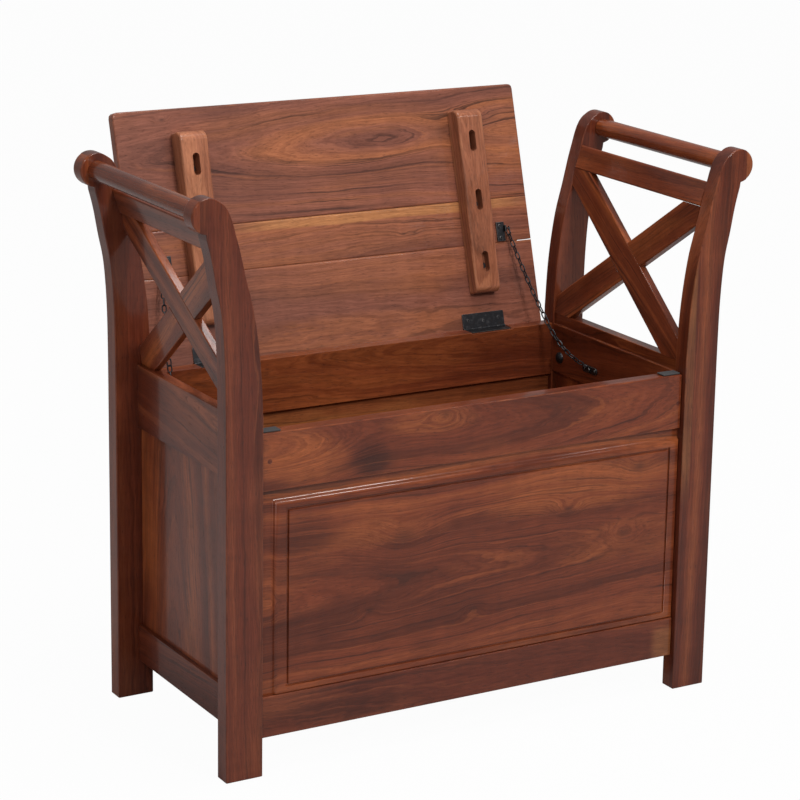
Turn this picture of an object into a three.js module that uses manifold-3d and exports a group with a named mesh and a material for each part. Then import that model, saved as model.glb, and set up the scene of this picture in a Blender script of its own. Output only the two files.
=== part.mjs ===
// A small hardwood settle bench: a box seat with a hinged lid between two curved, cross-braced arms.
// Millimetres, +Z up, +X to the right as seen from the front, +Y to the back.
// The lid stands open, as it rests, and the origin lies on the floor below the middle of the whole bench.

import * as THREE from 'three';
import { mergeVertices } from 'three/addons/utils/BufferGeometryUtils.js';
import Module from 'manifold-3d';

const wasm = await Module();
wasm.setup();

// Gap kept at every seat, and how far a cutter runs past what it cuts
const fit_gap = 0.25;
const overrun = 1;

// Heights of the box, each taken from the top of the front apron
const apron_top = 430;
const apron_height = 72;
const seat_rail_rise = 15;
const seat_rail_height = 82;

// Heights of the arms: the bend above the front apron, the head above the bend, the rail below the head
const leg_bend_rise = 20;
const head_rise = 248.5;
const upper_rail_drop = 52.5;

// Legs
const box_inner_width = 608;
const frame_depth = 337.2;
const leg_width = 49;
const leg_thickness = 24;
const head_sweep = 71;
const head_radius = 21.5;
const head_block_width = 10.5;
const quirk_depth = 6;
const quirk_width = 2.2;
const head_start_angle = THREE.MathUtils.degToRad(125);
const quirk_angle = THREE.MathUtils.degToRad(-82);

// Share of the rise and share of the sweep along each curved edge, from the bend to the head
const inner_edge_shares = [
  [0.246, 0.06], [0.474, 0.198], [0.644, 0.387], [0.771, 0.523],
  [0.846, 0.617], [0.903, 0.69], [0.946, 0.767], [0.979, 0.869],
];
const outer_edge_shares = [[0.315, 0.04], [0.572, 0.2], [0.743, 0.5], [0.892, 0.75]];

// Front and back boards
const front_setback = 7.4;
const back_setback = 2.3;
const apron_thickness = 20;
const bottom_rail_bottom = 46;
const bottom_rail_top = 98.5;
const board_tenon_length = 20;
const tenon_thickness = 8;
const tenon_shoulder = 10;
const groove_depth = 6;

// Raised panels in front and back
const panel_thickness = 8;
const panel_setback = 5;
const bevel_margins = { left: 13.8, right: 0.4, bottom: 0.4, top: 8.2 };
const field_margins = { left: 38.6, right: 17.7, bottom: 12.5, top: 27.9 };
const bevel_seat_depth = 0.5;

// Seat rails, side panels and bottom rails of the two sides
const seat_rail_thickness = 18.5;
const side_inset = 0.5;
const seat_rebate_width = 3;
const seat_rebate_height = 15;
const side_panel_thickness = 8;
const side_panel_inset = 6;
const side_rail_bottom = 48;
const side_rail_top = 97;
const side_rail_thickness = 20;
const side_tenon_length = 7;

// Arms: round handrails, leaning upper rails and lapped diagonal braces
const handrail_diameter = 24.5;
const handrail_tenon_diameter = 16;
const handrail_tenon_length = 12;
const upper_rail_inner_sweep = 27.5;
const upper_rail_width = 32.7;
const upper_rail_thickness = 14;
const upper_rail_lean = THREE.MathUtils.degToRad(18.7);
const upper_tenon_length = 8;
const upper_tenon_shoulder = 2.8;
const brace_width = 41;
const brace_thickness = 11;
const brace_inset = 1.5;

// Floor of the box
const floor_thickness = 10;
const floor_height = 76;
const cleat_width = 15;
const cleat_height = 16;
const cleat_end_gap = 14;

// Lid, in three planks
const open_angle = THREE.MathUtils.degToRad(106.5);
const lid_side_gap = 2.5;
const lid_overhang = 2;
const lid_lift = 0.55;
const rear_lap = 9.25;
const lid_thickness = 15;
const lid_corner_radius = 7;
const rear_plank_depth = 111.5;
const middle_plank_depth = 61.5;

// Battens under the lid, with slots for their screws
const batten_insets = { left: 98, right: 89.5 };
const batten_width = 39.5;
const batten_start = 45;
const batten_end_margin = 32.5;
const batten_rear_thickness = 18;
const batten_front_thickness = 26;
const batten_rear_radius = 9;
const batten_front_radius = 13;
const slot_shares = [0.167, 0.504, 0.825];
const slot_width = 10;
const slot_length = 29;
const slot_ledge = 8;
const slot_neck = 5;
const screw_head_diameter = 8;
const screw_head_height = 2.4;
const screw_shank_diameter = 3.6;
const screw_depth = 9;
const screw_shift = 5;

// Butt hinges
const hinge_insets = { left: 102.5, right: 94.5 };
const hinge_width = 66;
const hinge_leaf_thickness = 1;
const hinge_barrel_radius = 2;
const hinge_bore_radius = 1.15;
const hinge_pin_radius = 0.9;
const hinge_knuckles = 5;
const lid_leaf_depth = 19;
const frame_leaf_depth = 15;

// Lid stay chains: a plate on the lid, two runs of links and a plate on the seat rail
const lid_plate_inset = 43;
const lid_plate_width = 12.5;
const lid_plate_length = 26.5;
const lid_plate_start = 113;
const chain_plate_thickness = 2;
const lid_ear_height = 8;
const lid_ear_length = 9;
const lid_stud_place = 130;
const lid_stud_drop = 5;
const lid_stud_length = 6;
const stud_radius = 0.9;
const stud_head_radius = 2.6;
const stud_head_thickness = 1;
const link_pitch = 9;
const link_width = 7;
const link_wire = 2;
const link_corner_steps = 3;
const knee_reach = 34.55;
const knee_rise = 12.625;
const knee_side_gap = 22;
const upper_run_sag = 3;
const lower_run_sag = 11;
const wall_plate_length = 34;
const wall_plate_height = 10;
const wall_plate_reach = 96.3;
const wall_plate_rise = 23;
const chain_end_lift = 5;
const wall_eye_radius = 3.2;
const wall_eye_height = 2.5;

// Bolts through the seat rails and pads under the lid
const rail_bolt_reach = 20.3;
const rail_bolt_rise = 22;
const bolt_head_diameter = 16;
const bolt_head_height = 4.5;
const bolt_shank_diameter = 6;
const bolt_shank_length = 10;
const pad_width = 26;
const pad_depth = 15;
const pad_thickness = 2;
const pad_end_gap = 2;

// How finely curves are cut
const edge_steps = 3;
const head_steps = 10;
const round_steps = 24;
const small_round_steps = 12;
const barrel_steps = 5;

// Places worked out from the sizes above
const apron_bottom = apron_top - apron_height;
const seat_rail_top = apron_top + seat_rail_rise;
const seat_rail_bottom = seat_rail_top - seat_rail_height;
const leg_bend_height = apron_top + leg_bend_rise;
const head_height = leg_bend_height + head_rise;
const upper_rail_height = head_height - upper_rail_drop;
const leg_inner = box_inner_width / 2;
const leg_outer = leg_inner + leg_width;
const leg_back = frame_depth / 2;
const leg_front_face = leg_back - leg_thickness;
const leg_middle = leg_back - leg_thickness / 2;
const head_x = leg_inner + head_sweep;
const head_cut_angle = Math.acos((head_radius - head_block_width) / head_radius);
const seat_rail_inner = leg_inner + side_inset;
const seat_rail_outer = seat_rail_inner + seat_rail_thickness;
const pivot_y = leg_back - back_setback + hinge_barrel_radius + fit_gap;
const lid_rear = -(hinge_barrel_radius + fit_gap);
const lid_back = lid_rear + rear_lap;
const lid_underside = fit_gap / 2 + hinge_leaf_thickness + fit_gap;
const pivot_z = apron_top + lid_lift - lid_underside;
const hinge_recess_floor = pivot_z - lid_underside;
const batten_face = lid_underside - fit_gap;
const front_inside = -(leg_back - front_setback - apron_thickness);
const back_inside = leg_back - back_setback - apron_thickness;
const lid_width = box_inner_width - 2 * lid_side_gap;
const lid_depth = frame_depth - front_setback - back_setback + lid_overhang;
const front_plank_depth = lid_depth - rear_plank_depth - middle_plank_depth;
const batten_length = lid_depth - batten_start - batten_end_margin;
const slot_places = slot_shares.map((share) => batten_start + share * batten_length);
const knee_place = [pivot_y - knee_reach, pivot_z + knee_rise];
const wall_plate_place = [back_inside - wall_plate_reach, seat_rail_bottom + wall_plate_rise];
const wall_end_place = [wall_plate_place[0], wall_plate_place[1] + chain_end_lift];
const rail_bolt_place = [back_inside - rail_bolt_reach, seat_rail_bottom + rail_bolt_rise];

// A place along X, set in from an edge of the lid
function inset_places(insets) {
  return {
    left: -lid_width / 2 + insets.left,
    right: lid_width / 2 - insets.right,
  };
}

const batten_places = inset_places(batten_insets);
const hinge_places = inset_places(hinge_insets);

const sides = { left: -1, right: 1 };
const ends = { front: -1, back: 1 };
const model = new THREE.Group();

// Materials, one to a piece
const hardwood = { color: 0x6e3c28, roughness: 0.42, metalness: 0 };
const leg_wood = { color: 0x5f3226, roughness: 0.42, metalness: 0 };
const lid_wood = { color: 0x8c5a4b, roughness: 0.48, metalness: 0 };
const honey_wood = { color: 0x965528, roughness: 0.42, metalness: 0 };
const dark_metal = { color: 0x32303a, roughness: 0.45, metalness: 0.85 };
const felt = { color: 0x3a3a3c, roughness: 0.95, metalness: 0 };

// Adds one named piece to a group
function add_piece(name, geometry, finish, group = model) {
  const mesh = new THREE.Mesh(geometry, new THREE.MeshStandardMaterial(finish));
  mesh.name = name;
  group.add(mesh);
  return mesh;
}

// Turns a closed geometry into a solid that can be joined and cut
function to_solid(geometry) {
  const bare = geometry.clone();
  bare.deleteAttribute('normal');
  bare.deleteAttribute('uv');
  const merged = mergeVertices(bare, fit_gap / 1000);
  return new wasm.Manifold(new wasm.Mesh({
    numProp: 3,
    vertProperties: Float32Array.from(merged.attributes.position.array),
    triVerts: Uint32Array.from(merged.index.array),
  }));
}

// Turns a solid back into a geometry
function to_geometry(solid) {
  const mesh = solid.getMesh();
  const geometry = new THREE.BufferGeometry();
  geometry.setAttribute('position', new THREE.BufferAttribute(mesh.vertProperties, mesh.numProp));
  geometry.setIndex(new THREE.BufferAttribute(mesh.triVerts, 1));
  geometry.computeVertexNormals();
  return geometry;
}

// Joins the additions to a geometry and takes the cutters away
function carve(geometry, additions, cutters) {
  let solid = to_solid(geometry);
  for (const addition of additions) {
    solid = solid.add(to_solid(addition));
  }
  for (const cutter of cutters) {
    solid = solid.subtract(to_solid(cutter));
  }
  return to_geometry(solid);
}

// Puts a span in rising order, mirrored to the given side of the middle plane
function mirrored(side, near, far) {
  return [Math.min(side * near, side * far), Math.max(side * near, side * far)];
}

// A block between the limits of a box of three spans
function block({ x, y, z }) {
  const geometry = new THREE.BoxGeometry(x[1] - x[0], y[1] - y[0], z[1] - z[0]);
  return geometry.translate((x[0] + x[1]) / 2, (y[0] + y[1]) / 2, (z[0] + z[1]) / 2);
}

// The same box, larger by a gap on every face
function grown({ x, y, z }, gap) {
  return {
    x: [x[0] - gap, x[1] + gap],
    y: [y[0] - gap, y[1] + gap],
    z: [z[0] - gap, z[1] + gap],
  };
}

// An outline of X and Z drawn out along Y
function prism_along_y(shape, y, steps = edge_steps) {
  const options = { depth: y[1] - y[0], bevelEnabled: false, curveSegments: steps };
  const geometry = new THREE.ExtrudeGeometry(shape, options);
  return geometry.rotateX(Math.PI / 2).translate(0, y[1], 0);
}

// An outline of Y and Z drawn out along X
function prism_along_x(shape, x, steps = small_round_steps) {
  const options = { depth: x[1] - x[0], bevelEnabled: false, curveSegments: steps };
  const geometry = new THREE.ExtrudeGeometry(shape, options);
  const turn = new THREE.Matrix4().makeBasis(
    new THREE.Vector3(0, 1, 0),
    new THREE.Vector3(0, 0, 1),
    new THREE.Vector3(1, 0, 0),
  );
  return geometry.applyMatrix4(turn).translate(x[0], 0, 0);
}

// A closed outline through straight points
function outline(points) {
  return new THREE.Shape(points.map(([a, b]) => new THREE.Vector2(a, b)));
}

// A round bar along X
function rod_along_x(radius, x, y, z, steps = small_round_steps) {
  const bar = new THREE.CylinderGeometry(radius, radius, x[1] - x[0], steps);
  return bar.rotateZ(Math.PI / 2).translate((x[0] + x[1]) / 2, y, z);
}

// The box filled by the tenon of a front or back board, and by that of a side board
function board_tenon(side, end, z) {
  const middle = end * leg_middle;
  return {
    x: mirrored(side, leg_inner - overrun, leg_inner + board_tenon_length),
    y: [middle - tenon_thickness / 2, middle + tenon_thickness / 2],
    z: [z[0] + tenon_shoulder, z[1] - tenon_shoulder],
  };
}

function side_tenon(side, end, inner, outer, z) {
  const middle = (inner + outer) / 2;
  return {
    x: mirrored(side, middle - tenon_thickness / 2, middle + tenon_thickness / 2),
    y: mirrored(end, leg_front_face - overrun, leg_front_face + side_tenon_length),
    z: [z[0] + tenon_shoulder, z[1] - tenon_shoulder],
  };
}

const setbacks = { front: front_setback, back: back_setback };
const bottom_rail_span = [bottom_rail_bottom, bottom_rail_top];
const seat_rail_span = [seat_rail_bottom, seat_rail_top];
const side_rail_span = [side_rail_bottom, side_rail_top];
const side_rail_outer = seat_rail_inner + side_rail_thickness;

// Upper rail section, leaning outward with the arms, as a matrix that sets it in place
function upper_rail_frame(side) {
  const turn = new THREE.Matrix4().makeRotationY(side * upper_rail_lean);
  const x = side * (leg_inner + upper_rail_inner_sweep);
  return new THREE.Matrix4().makeTranslation(x, 0, upper_rail_height).multiply(turn);
}

function upper_rail_box(side, y, margin) {
  const x = mirrored(side, margin, upper_rail_thickness - margin);
  return block({ x, y, z: [margin, upper_rail_width - margin] }).applyMatrix4(upper_rail_frame(side));
}

// Legs: straight below, sweeping outward above to a scrolled head
function leg_outline(side) {
  const shape = new THREE.Shape();
  const head_start = head_x + head_radius * Math.cos(head_start_angle);
  const inner_sweep = head_start - leg_inner;
  const start_height = head_height + head_radius * Math.sin(head_start_angle);
  const inner_rise = start_height - leg_bend_height;
  const quirk_x = head_x + quirk_width;
  const quirk_z = head_height - head_radius - quirk_depth;
  const outer_sweep = quirk_x - leg_outer;
  const outer_rise = quirk_z - leg_bend_height;
  const inner_points = inner_edge_shares.map(([rise, sweep]) => new THREE.Vector2(
    side * (leg_inner + sweep * inner_sweep),
    leg_bend_height + rise * inner_rise,
  ));
  const outer_points = outer_edge_shares.map(([rise, sweep]) => new THREE.Vector2(
    side * (leg_outer + sweep * outer_sweep),
    leg_bend_height + rise * outer_rise,
  ));
  const on_head = (angle) => new THREE.Vector2(
    side * (head_x + head_radius * Math.cos(angle)),
    head_height + head_radius * Math.sin(angle),
  );
  const head_arc = (from, to) => {
    for (let step = 0; step <= head_steps; step += 1) {
      const point = on_head(from + (to - from) * step / head_steps);
      shape.lineTo(point.x, point.y);
    }
  };
  shape.moveTo(side * leg_inner, 0);
  shape.lineTo(side * leg_inner, leg_bend_height);
  shape.splineThru([...inner_points, on_head(head_start_angle)]);
  head_arc(head_start_angle, head_cut_angle);
  head_arc(-head_cut_angle, quirk_angle);
  shape.lineTo(side * quirk_x, quirk_z);
  shape.splineThru([...outer_points.reverse(), new THREE.Vector2(side * leg_outer, leg_bend_height)]);
  shape.lineTo(side * leg_outer, 0);
  return shape;
}

function handrail_mortise(side, end) {
  const radius = handrail_tenon_diameter / 2 + fit_gap;
  const length = overrun + handrail_tenon_length + fit_gap;
  const bore = new THREE.CylinderGeometry(radius, radius, length, round_steps);
  const middle = end * (leg_front_face + length / 2 - overrun);
  return bore.translate(side * head_x, middle, head_height);
}

for (const [side_name, side] of Object.entries(sides)) {
  for (const [end_name, end] of Object.entries(ends)) {
    const blank = prism_along_y(leg_outline(side), mirrored(end, leg_front_face, leg_back));
    const upper_mortise_end = leg_front_face + upper_tenon_length + fit_gap;
    const upper_mortise_y = mirrored(end, leg_front_face - overrun, upper_mortise_end);
    const mortises = [
      board_tenon(side, end, [apron_bottom, apron_top]),
      board_tenon(side, end, bottom_rail_span),
      side_tenon(side, end, seat_rail_inner, seat_rail_outer, seat_rail_span),
      side_tenon(side, end, seat_rail_inner, side_rail_outer, side_rail_span),
    ].map((tenon) => block(grown(tenon, fit_gap)));
    const cutters = [
      ...mortises,
      handrail_mortise(side, end),
      upper_rail_box(side, upper_mortise_y, upper_tenon_shoulder - fit_gap),
    ];
    add_piece(`${end_name}_${side_name}_leg`, carve(blank, [], cutters), leg_wood);
  }
}

// Scroll blocks: the outer slice of each head, glued on
for (const [side_name, side] of Object.entries(sides)) {
  for (const [end_name, end] of Object.entries(ends)) {
    const points = [];
    const reach = Math.acos((head_radius - head_block_width + fit_gap) / head_radius);
    for (let step = 0; step <= head_steps; step += 1) {
      const angle = -reach + 2 * reach * step / head_steps;
      const x = side * (head_x + head_radius * Math.cos(angle));
      points.push([x, head_height + head_radius * Math.sin(angle)]);
    }
    const slice = prism_along_y(outline(points), mirrored(end, leg_front_face, leg_back));
    add_piece(`${end_name}_${side_name}_scroll_block`, slice, honey_wood);
  }
}

// Handrails: round bars whose turned-down ends sit in the heads
for (const [side_name, side] of Object.entries(sides)) {
  const shoulder = leg_front_face - fit_gap;
  const tip = leg_front_face + handrail_tenon_length;
  const bar_radius = handrail_diameter / 2;
  const tenon_radius = handrail_tenon_diameter / 2;
  const profile = [
    [0, -tip], [tenon_radius, -tip], [tenon_radius, -shoulder], [bar_radius, -shoulder],
    [bar_radius, shoulder], [tenon_radius, shoulder], [tenon_radius, tip], [0, tip],
  ].map(([radius, y]) => new THREE.Vector2(radius, y));
  const rail = add_piece(`${side_name}_handrail`, new THREE.LatheGeometry(profile, round_steps), honey_wood);
  rail.position.set(side * head_x, 0, head_height);
}

// Upper rails, tenoned between the arms
for (const [side_name, side] of Object.entries(sides)) {
  const body = upper_rail_box(side, [-leg_front_face + fit_gap, leg_front_face - fit_gap], 0);
  const reach = leg_front_face + upper_tenon_length;
  const tenon = upper_rail_box(side, [-reach, reach], upper_tenon_shoulder);
  add_piece(`${side_name}_upper_rail`, carve(body, [tenon], []), hardwood);
}

// Braces: two diagonals to a side, halved into each other where they cross
const brace_foot_x = seat_rail_inner + brace_inset;
const brace_top_x = leg_inner + upper_rail_inner_sweep;
const brace_rise = upper_rail_height - seat_rail_top;
const brace_lean = Math.atan((brace_top_x - brace_foot_x) / brace_rise);
const brace_half_span = leg_front_face - fit_gap;
const brace_half_height = brace_rise / Math.cos(brace_lean) / 2;
const brace_slope = Math.atan(brace_half_height / brace_half_span);

// A diagonal strip cut to the corners of the opening; tilt is 1 when it rises to the back
function brace_strip(tilt, side, x) {
  const half_width = brace_width / 2;
  const along_edge = half_width / Math.cos(brace_slope);
  const along_rail = half_width / Math.sin(brace_slope);
  const low = -brace_half_height;
  const high = brace_half_height;
  const near = -tilt * brace_half_span;
  const far = tilt * brace_half_span;
  const points = [
    [near, low], [near + tilt * along_rail, low], [far, high - along_edge],
    [far, high], [far - tilt * along_rail, high], [near, low + along_edge],
  ];
  return prism_along_x(outline(points), mirrored(side, x[0], x[1]));
}

// The crossing strip that is cut out of a brace, a gap wider on each side
function brace_crossing(tilt, side, x) {
  const length = 4 * brace_half_height;
  const strip = block({
    x: mirrored(side, x[0], x[1]),
    y: [-length / 2, length / 2],
    z: [-brace_width / 2 - fit_gap, brace_width / 2 + fit_gap],
  });
  return strip.rotateX(tilt * brace_slope);
}

function lean_into_place(geometry, side) {
  const foot_lift = brace_half_height * Math.cos(brace_lean);
  const reach = brace_half_height * Math.sin(brace_lean);
  geometry.rotateY(side * brace_lean);
  return geometry.translate(side * (brace_foot_x + reach), 0, seat_rail_top + foot_lift);
}

// At the crossing, the falling brace keeps the half toward the left of the bench on both sides
const inner_braces = { left: 'rising', right: 'falling' };

for (const [side_name, side] of Object.entries(sides)) {
  const lap = brace_thickness / 2;
  const inner_half = [-overrun, lap + fit_gap / 2];
  const outer_half = [lap - fit_gap / 2, brace_thickness + overrun];
  const tilts = { falling: 1, rising: -1 };
  const rail_above = upper_rail_box(side, [-leg_back, leg_back], -fit_gap);
  const rail_below = block({
    x: mirrored(side, seat_rail_inner - brace_thickness, seat_rail_outer + brace_thickness),
    y: [-leg_back, leg_back],
    z: [seat_rail_bottom, seat_rail_top + fit_gap],
  });
  for (const [way, tilt] of Object.entries(tilts)) {
    const notched_half = way === inner_braces[side_name] ? outer_half : inner_half;
    const strip = brace_strip(tilt, side, [0, brace_thickness]);
    const notch = brace_crossing(-tilt, side, notched_half);
    const cutters = [lean_into_place(notch, side), rail_above, rail_below];
    const brace = carve(lean_into_place(strip, side), [], cutters);
    add_piece(`${side_name}_${way}_brace`, brace, hardwood);
  }
}

// Seat rails: rebated above for the lid, grooved below for the side panel, bored for a bolt
const groove_inner = seat_rail_inner + side_panel_inset - fit_gap;
const groove_outer = seat_rail_inner + side_panel_inset + side_panel_thickness + fit_gap;
const rail_end = leg_front_face - fit_gap;

for (const [side_name, side] of Object.entries(sides)) {
  const rebate = seat_rail_inner + seat_rebate_width;
  const groove_top = seat_rail_bottom + groove_depth;
  const section = outline([
    [side * seat_rail_inner, seat_rail_bottom], [side * groove_inner, seat_rail_bottom],
    [side * groove_inner, groove_top], [side * groove_outer, groove_top],
    [side * groove_outer, seat_rail_bottom], [side * seat_rail_outer, seat_rail_bottom],
    [side * seat_rail_outer, seat_rail_top], [side * rebate, seat_rail_top],
    [side * rebate, seat_rail_top - seat_rebate_height],
    [side * seat_rail_inner, seat_rail_top - seat_rebate_height],
  ]);
  const tenons = Object.values(ends).map((end) => (
    block(side_tenon(side, end, seat_rail_inner, seat_rail_outer, seat_rail_span))
  ));
  const bore_x = mirrored(side, seat_rail_inner - overrun, seat_rail_inner + bolt_shank_length + fit_gap);
  const bore = rod_along_x(bolt_shank_diameter / 2 + fit_gap, bore_x, ...rail_bolt_place);
  const rail = carve(prism_along_y(section, [-rail_end, rail_end]), tenons, [bore]);
  add_piece(`${side_name}_seat_rail`, rail, hardwood);
}

// Bottom rails of the sides, grooved above, and the panels between
for (const [side_name, side] of Object.entries(sides)) {
  const groove_floor = side_rail_top - groove_depth;
  const section = outline([
    [side * seat_rail_inner, side_rail_bottom], [side * side_rail_outer, side_rail_bottom],
    [side * side_rail_outer, side_rail_top], [side * groove_outer, side_rail_top],
    [side * groove_outer, groove_floor], [side * groove_inner, groove_floor],
    [side * groove_inner, side_rail_top], [side * seat_rail_inner, side_rail_top],
  ]);
  const tenons = Object.values(ends).map((end) => (
    block(side_tenon(side, end, seat_rail_inner, side_rail_outer, side_rail_span))
  ));
  const rail = carve(prism_along_y(section, [-rail_end, rail_end]), tenons, []);
  add_piece(`${side_name}_bottom_rail`, rail, hardwood);
  const panel = block({
    x: mirrored(side, groove_inner + fit_gap, groove_outer - fit_gap),
    y: [-rail_end, rail_end],
    z: [groove_floor + fit_gap, seat_rail_bottom + groove_depth - fit_gap],
  });
  add_piece(`${side_name}_panel`, panel, hardwood);
}

// Front and back: an apron above, a bottom rail below and a raised panel in their grooves
function board_section(end_name, z, groove_at_top) {
  const end = ends[end_name];
  const face = leg_back - setbacks[end_name];
  const inside = face - apron_thickness;
  const near = face - panel_setback + fit_gap;
  const far = face - panel_setback - panel_thickness - fit_gap;
  const open_z = groove_at_top ? z[1] : z[0];
  const closed_z = groove_at_top ? z[0] : z[1];
  const groove_z = groove_at_top ? open_z - groove_depth : open_z + groove_depth;
  return outline([
    [end * face, closed_z], [end * face, open_z], [end * near, open_z], [end * near, groove_z],
    [end * far, groove_z], [end * far, open_z], [end * inside, open_z], [end * inside, closed_z],
  ]);
}

// A block whose outer face is smaller than its base, as a raised field is
function raised_field(end, base, field, y_base, y_field) {
  const geometry = block({ x: base.x, y: mirrored(end, y_base, y_field), z: base.z });
  const place = geometry.attributes.position;
  for (let i = 0; i < place.count; i += 1) {
    if (Math.abs(place.getY(i)) > (y_base + y_field) / 2) {
      place.setX(i, place.getX(i) > 0 ? field.x[1] : field.x[0]);
      place.setZ(i, place.getZ(i) > (base.z[0] + base.z[1]) / 2 ? field.z[1] : field.z[0]);
    }
  }
  return geometry;
}

// Recesses across the top of the back apron, in which the hinge leaves lie
function hinge_recesses() {
  return Object.values(hinge_places).map((x) => block({
    x: [x - hinge_width / 2 - fit_gap, x + hinge_width / 2 + fit_gap],
    y: [back_inside - overrun, leg_back],
    z: [hinge_recess_floor, apron_top + overrun],
  }));
}

for (const [end_name, end] of Object.entries(ends)) {
  const half_span = leg_inner - fit_gap;
  const face = leg_back - setbacks[end_name];
  const boards = {
    apron: { z: [apron_bottom, apron_top], groove_at_top: false },
    bottom_rail: { z: bottom_rail_span, groove_at_top: true },
  };
  for (const [board_name, { z, groove_at_top }] of Object.entries(boards)) {
    const body = prism_along_x(board_section(end_name, z, groove_at_top), [-half_span, half_span]);
    const tenons = Object.values(sides).map((side) => block(board_tenon(side, end, z)));
    const recesses = end_name === 'back' && board_name === 'apron' ? hinge_recesses() : [];
    add_piece(`${end_name}_${board_name}`, carve(body, tenons, recesses), hardwood);
  }
  const margin_face = face - panel_setback;
  const slab = block({
    x: [-half_span, half_span],
    y: mirrored(end, margin_face - panel_thickness, margin_face),
    z: [bottom_rail_top - groove_depth + fit_gap, apron_bottom + groove_depth - fit_gap],
  });
  const within = ({ left, right, bottom, top }) => ({
    x: [-leg_inner + left, leg_inner - right],
    z: [bottom_rail_top + bottom, apron_bottom - top],
  });
  const base = within(bevel_margins);
  const field = within(field_margins);
  const raised = raised_field(end, base, field, margin_face - bevel_seat_depth, face);
  add_piece(`${end_name}_panel`, carve(slab, [raised], []), hardwood);
}

// Floor board on two cleats
const cleat_top = floor_height - fit_gap;
const cleat_half_length = leg_inner - cleat_end_gap;
const cleat_spans = {
  front: [front_inside + fit_gap, front_inside + fit_gap + cleat_width],
  back: [back_inside - fit_gap - cleat_width, back_inside - fit_gap],
};
for (const [end_name, y] of Object.entries(cleat_spans)) {
  const x = [-cleat_half_length, cleat_half_length];
  add_piece(`${end_name}_floor_cleat`, block({ x, y, z: [cleat_top - cleat_height, cleat_top] }), hardwood);
}
add_piece('floor_board', block({
  x: [-leg_inner + fit_gap, leg_inner - fit_gap],
  y: [front_inside + fit_gap, back_inside - fit_gap],
  z: [floor_height, floor_height + floor_thickness],
}), hardwood);

// Pads on top of the front apron, at its ends
for (const [side_name, side] of Object.entries(sides)) {
  const face = leg_back - front_setback;
  const inset = (apron_thickness - pad_depth) / 2;
  const outer = leg_inner - pad_end_gap;
  const pad = block({
    x: mirrored(side, outer - pad_width, outer),
    y: [-face + inset, -face + inset + pad_depth],
    z: [apron_top + fit_gap, apron_top + fit_gap + pad_thickness],
  });
  add_piece(`${side_name}_lid_pad`, pad, felt);
}

// Bolts in the seat rails
for (const [side_name, side] of Object.entries(sides)) {
  const face = seat_rail_inner - fit_gap;
  const head_x_span = mirrored(side, face - bolt_head_height, face);
  const shank_x_span = mirrored(side, face - overrun, seat_rail_inner + bolt_shank_length);
  const head = rod_along_x(bolt_head_diameter / 2, head_x_span, ...rail_bolt_place, round_steps);
  const shank = rod_along_x(bolt_shank_diameter / 2, shank_x_span, ...rail_bolt_place);
  add_piece(`${side_name}_rail_bolt`, carve(head, [shank], []), dark_metal);
}

// The lid turns about the hinge line. Its pieces are placed as they lie when it is shut.
const lid = new THREE.Group();
lid.position.set(0, pivot_y, pivot_z);
lid.rotation.x = -open_angle;
model.add(lid);

// Planks, rear to front; the outer corners are rounded. The rear one laps past the hinge line,
// with a hollow along each barrel.
const plank_depths = { rear: rear_plank_depth, middle: middle_plank_depth, front: front_plank_depth };
const screw_places = [];
for (const [side_name, x] of Object.entries(batten_places)) {
  slot_places.forEach((place, index) => {
    const name = `${side_name}_batten_screw_${index + 1}`;
    screw_places.push({ name, x, y: lid_rear - place + screw_shift });
  });
}

function plank_outline(rear, front, round_rear, round_front) {
  const half = lid_width / 2;
  const r = lid_corner_radius;
  const shape = new THREE.Shape();
  if (round_rear) {
    shape.moveTo(half - r, rear);
    shape.lineTo(-half + r, rear);
    shape.quadraticCurveTo(-half, rear, -half, rear - r);
  } else {
    shape.moveTo(half, rear);
    shape.lineTo(-half, rear);
  }
  if (round_front) {
    shape.lineTo(-half, front + r);
    shape.quadraticCurveTo(-half, front, -half + r, front);
    shape.lineTo(half - r, front);
    shape.quadraticCurveTo(half, front, half, front + r);
  } else {
    shape.lineTo(-half, front);
    shape.lineTo(half, front);
  }
  if (round_rear) {
    shape.lineTo(half, rear - r);
    shape.quadraticCurveTo(half, rear, half - r, rear);
  }
  return shape;
}

function screw_bore(x, y) {
  const radius = screw_shank_diameter / 2 + fit_gap;
  const length = screw_depth + fit_gap + overrun;
  const bore = new THREE.CylinderGeometry(radius, radius, length, small_round_steps);
  bore.rotateX(Math.PI / 2);
  return bore.translate(x, y, lid_underside + (screw_depth + fit_gap - overrun) / 2);
}

function barrel_hollow(x) {
  const span = [x - hinge_width / 2 - fit_gap, x + hinge_width / 2 + fit_gap];
  return rod_along_x(hinge_barrel_radius + fit_gap, span, 0, 0);
}

let plank_rear = lid_rear;
for (const [plank_name, depth] of Object.entries(plank_depths)) {
  const plank_front = plank_rear - depth + fit_gap;
  const is_rear = plank_name === 'rear';
  const shape = plank_outline(is_rear ? lid_back : plank_rear, plank_front, is_rear, plank_name === 'front');
  const options = { depth: lid_thickness, bevelEnabled: false, curveSegments: edge_steps };
  const plank = new THREE.ExtrudeGeometry(shape, options).translate(0, 0, lid_underside);
  const held = screw_places.filter(({ y }) => y < plank_rear && y > plank_front);
  const bores = held.map(({ x, y }) => screw_bore(x, y));
  const hollows = is_rear ? Object.values(hinge_places).map(barrel_hollow) : [];
  add_piece(`lid_${plank_name}_plank`, carve(plank, [], [...bores, ...hollows]), lid_wood, lid);
  plank_rear -= depth;
}

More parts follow.
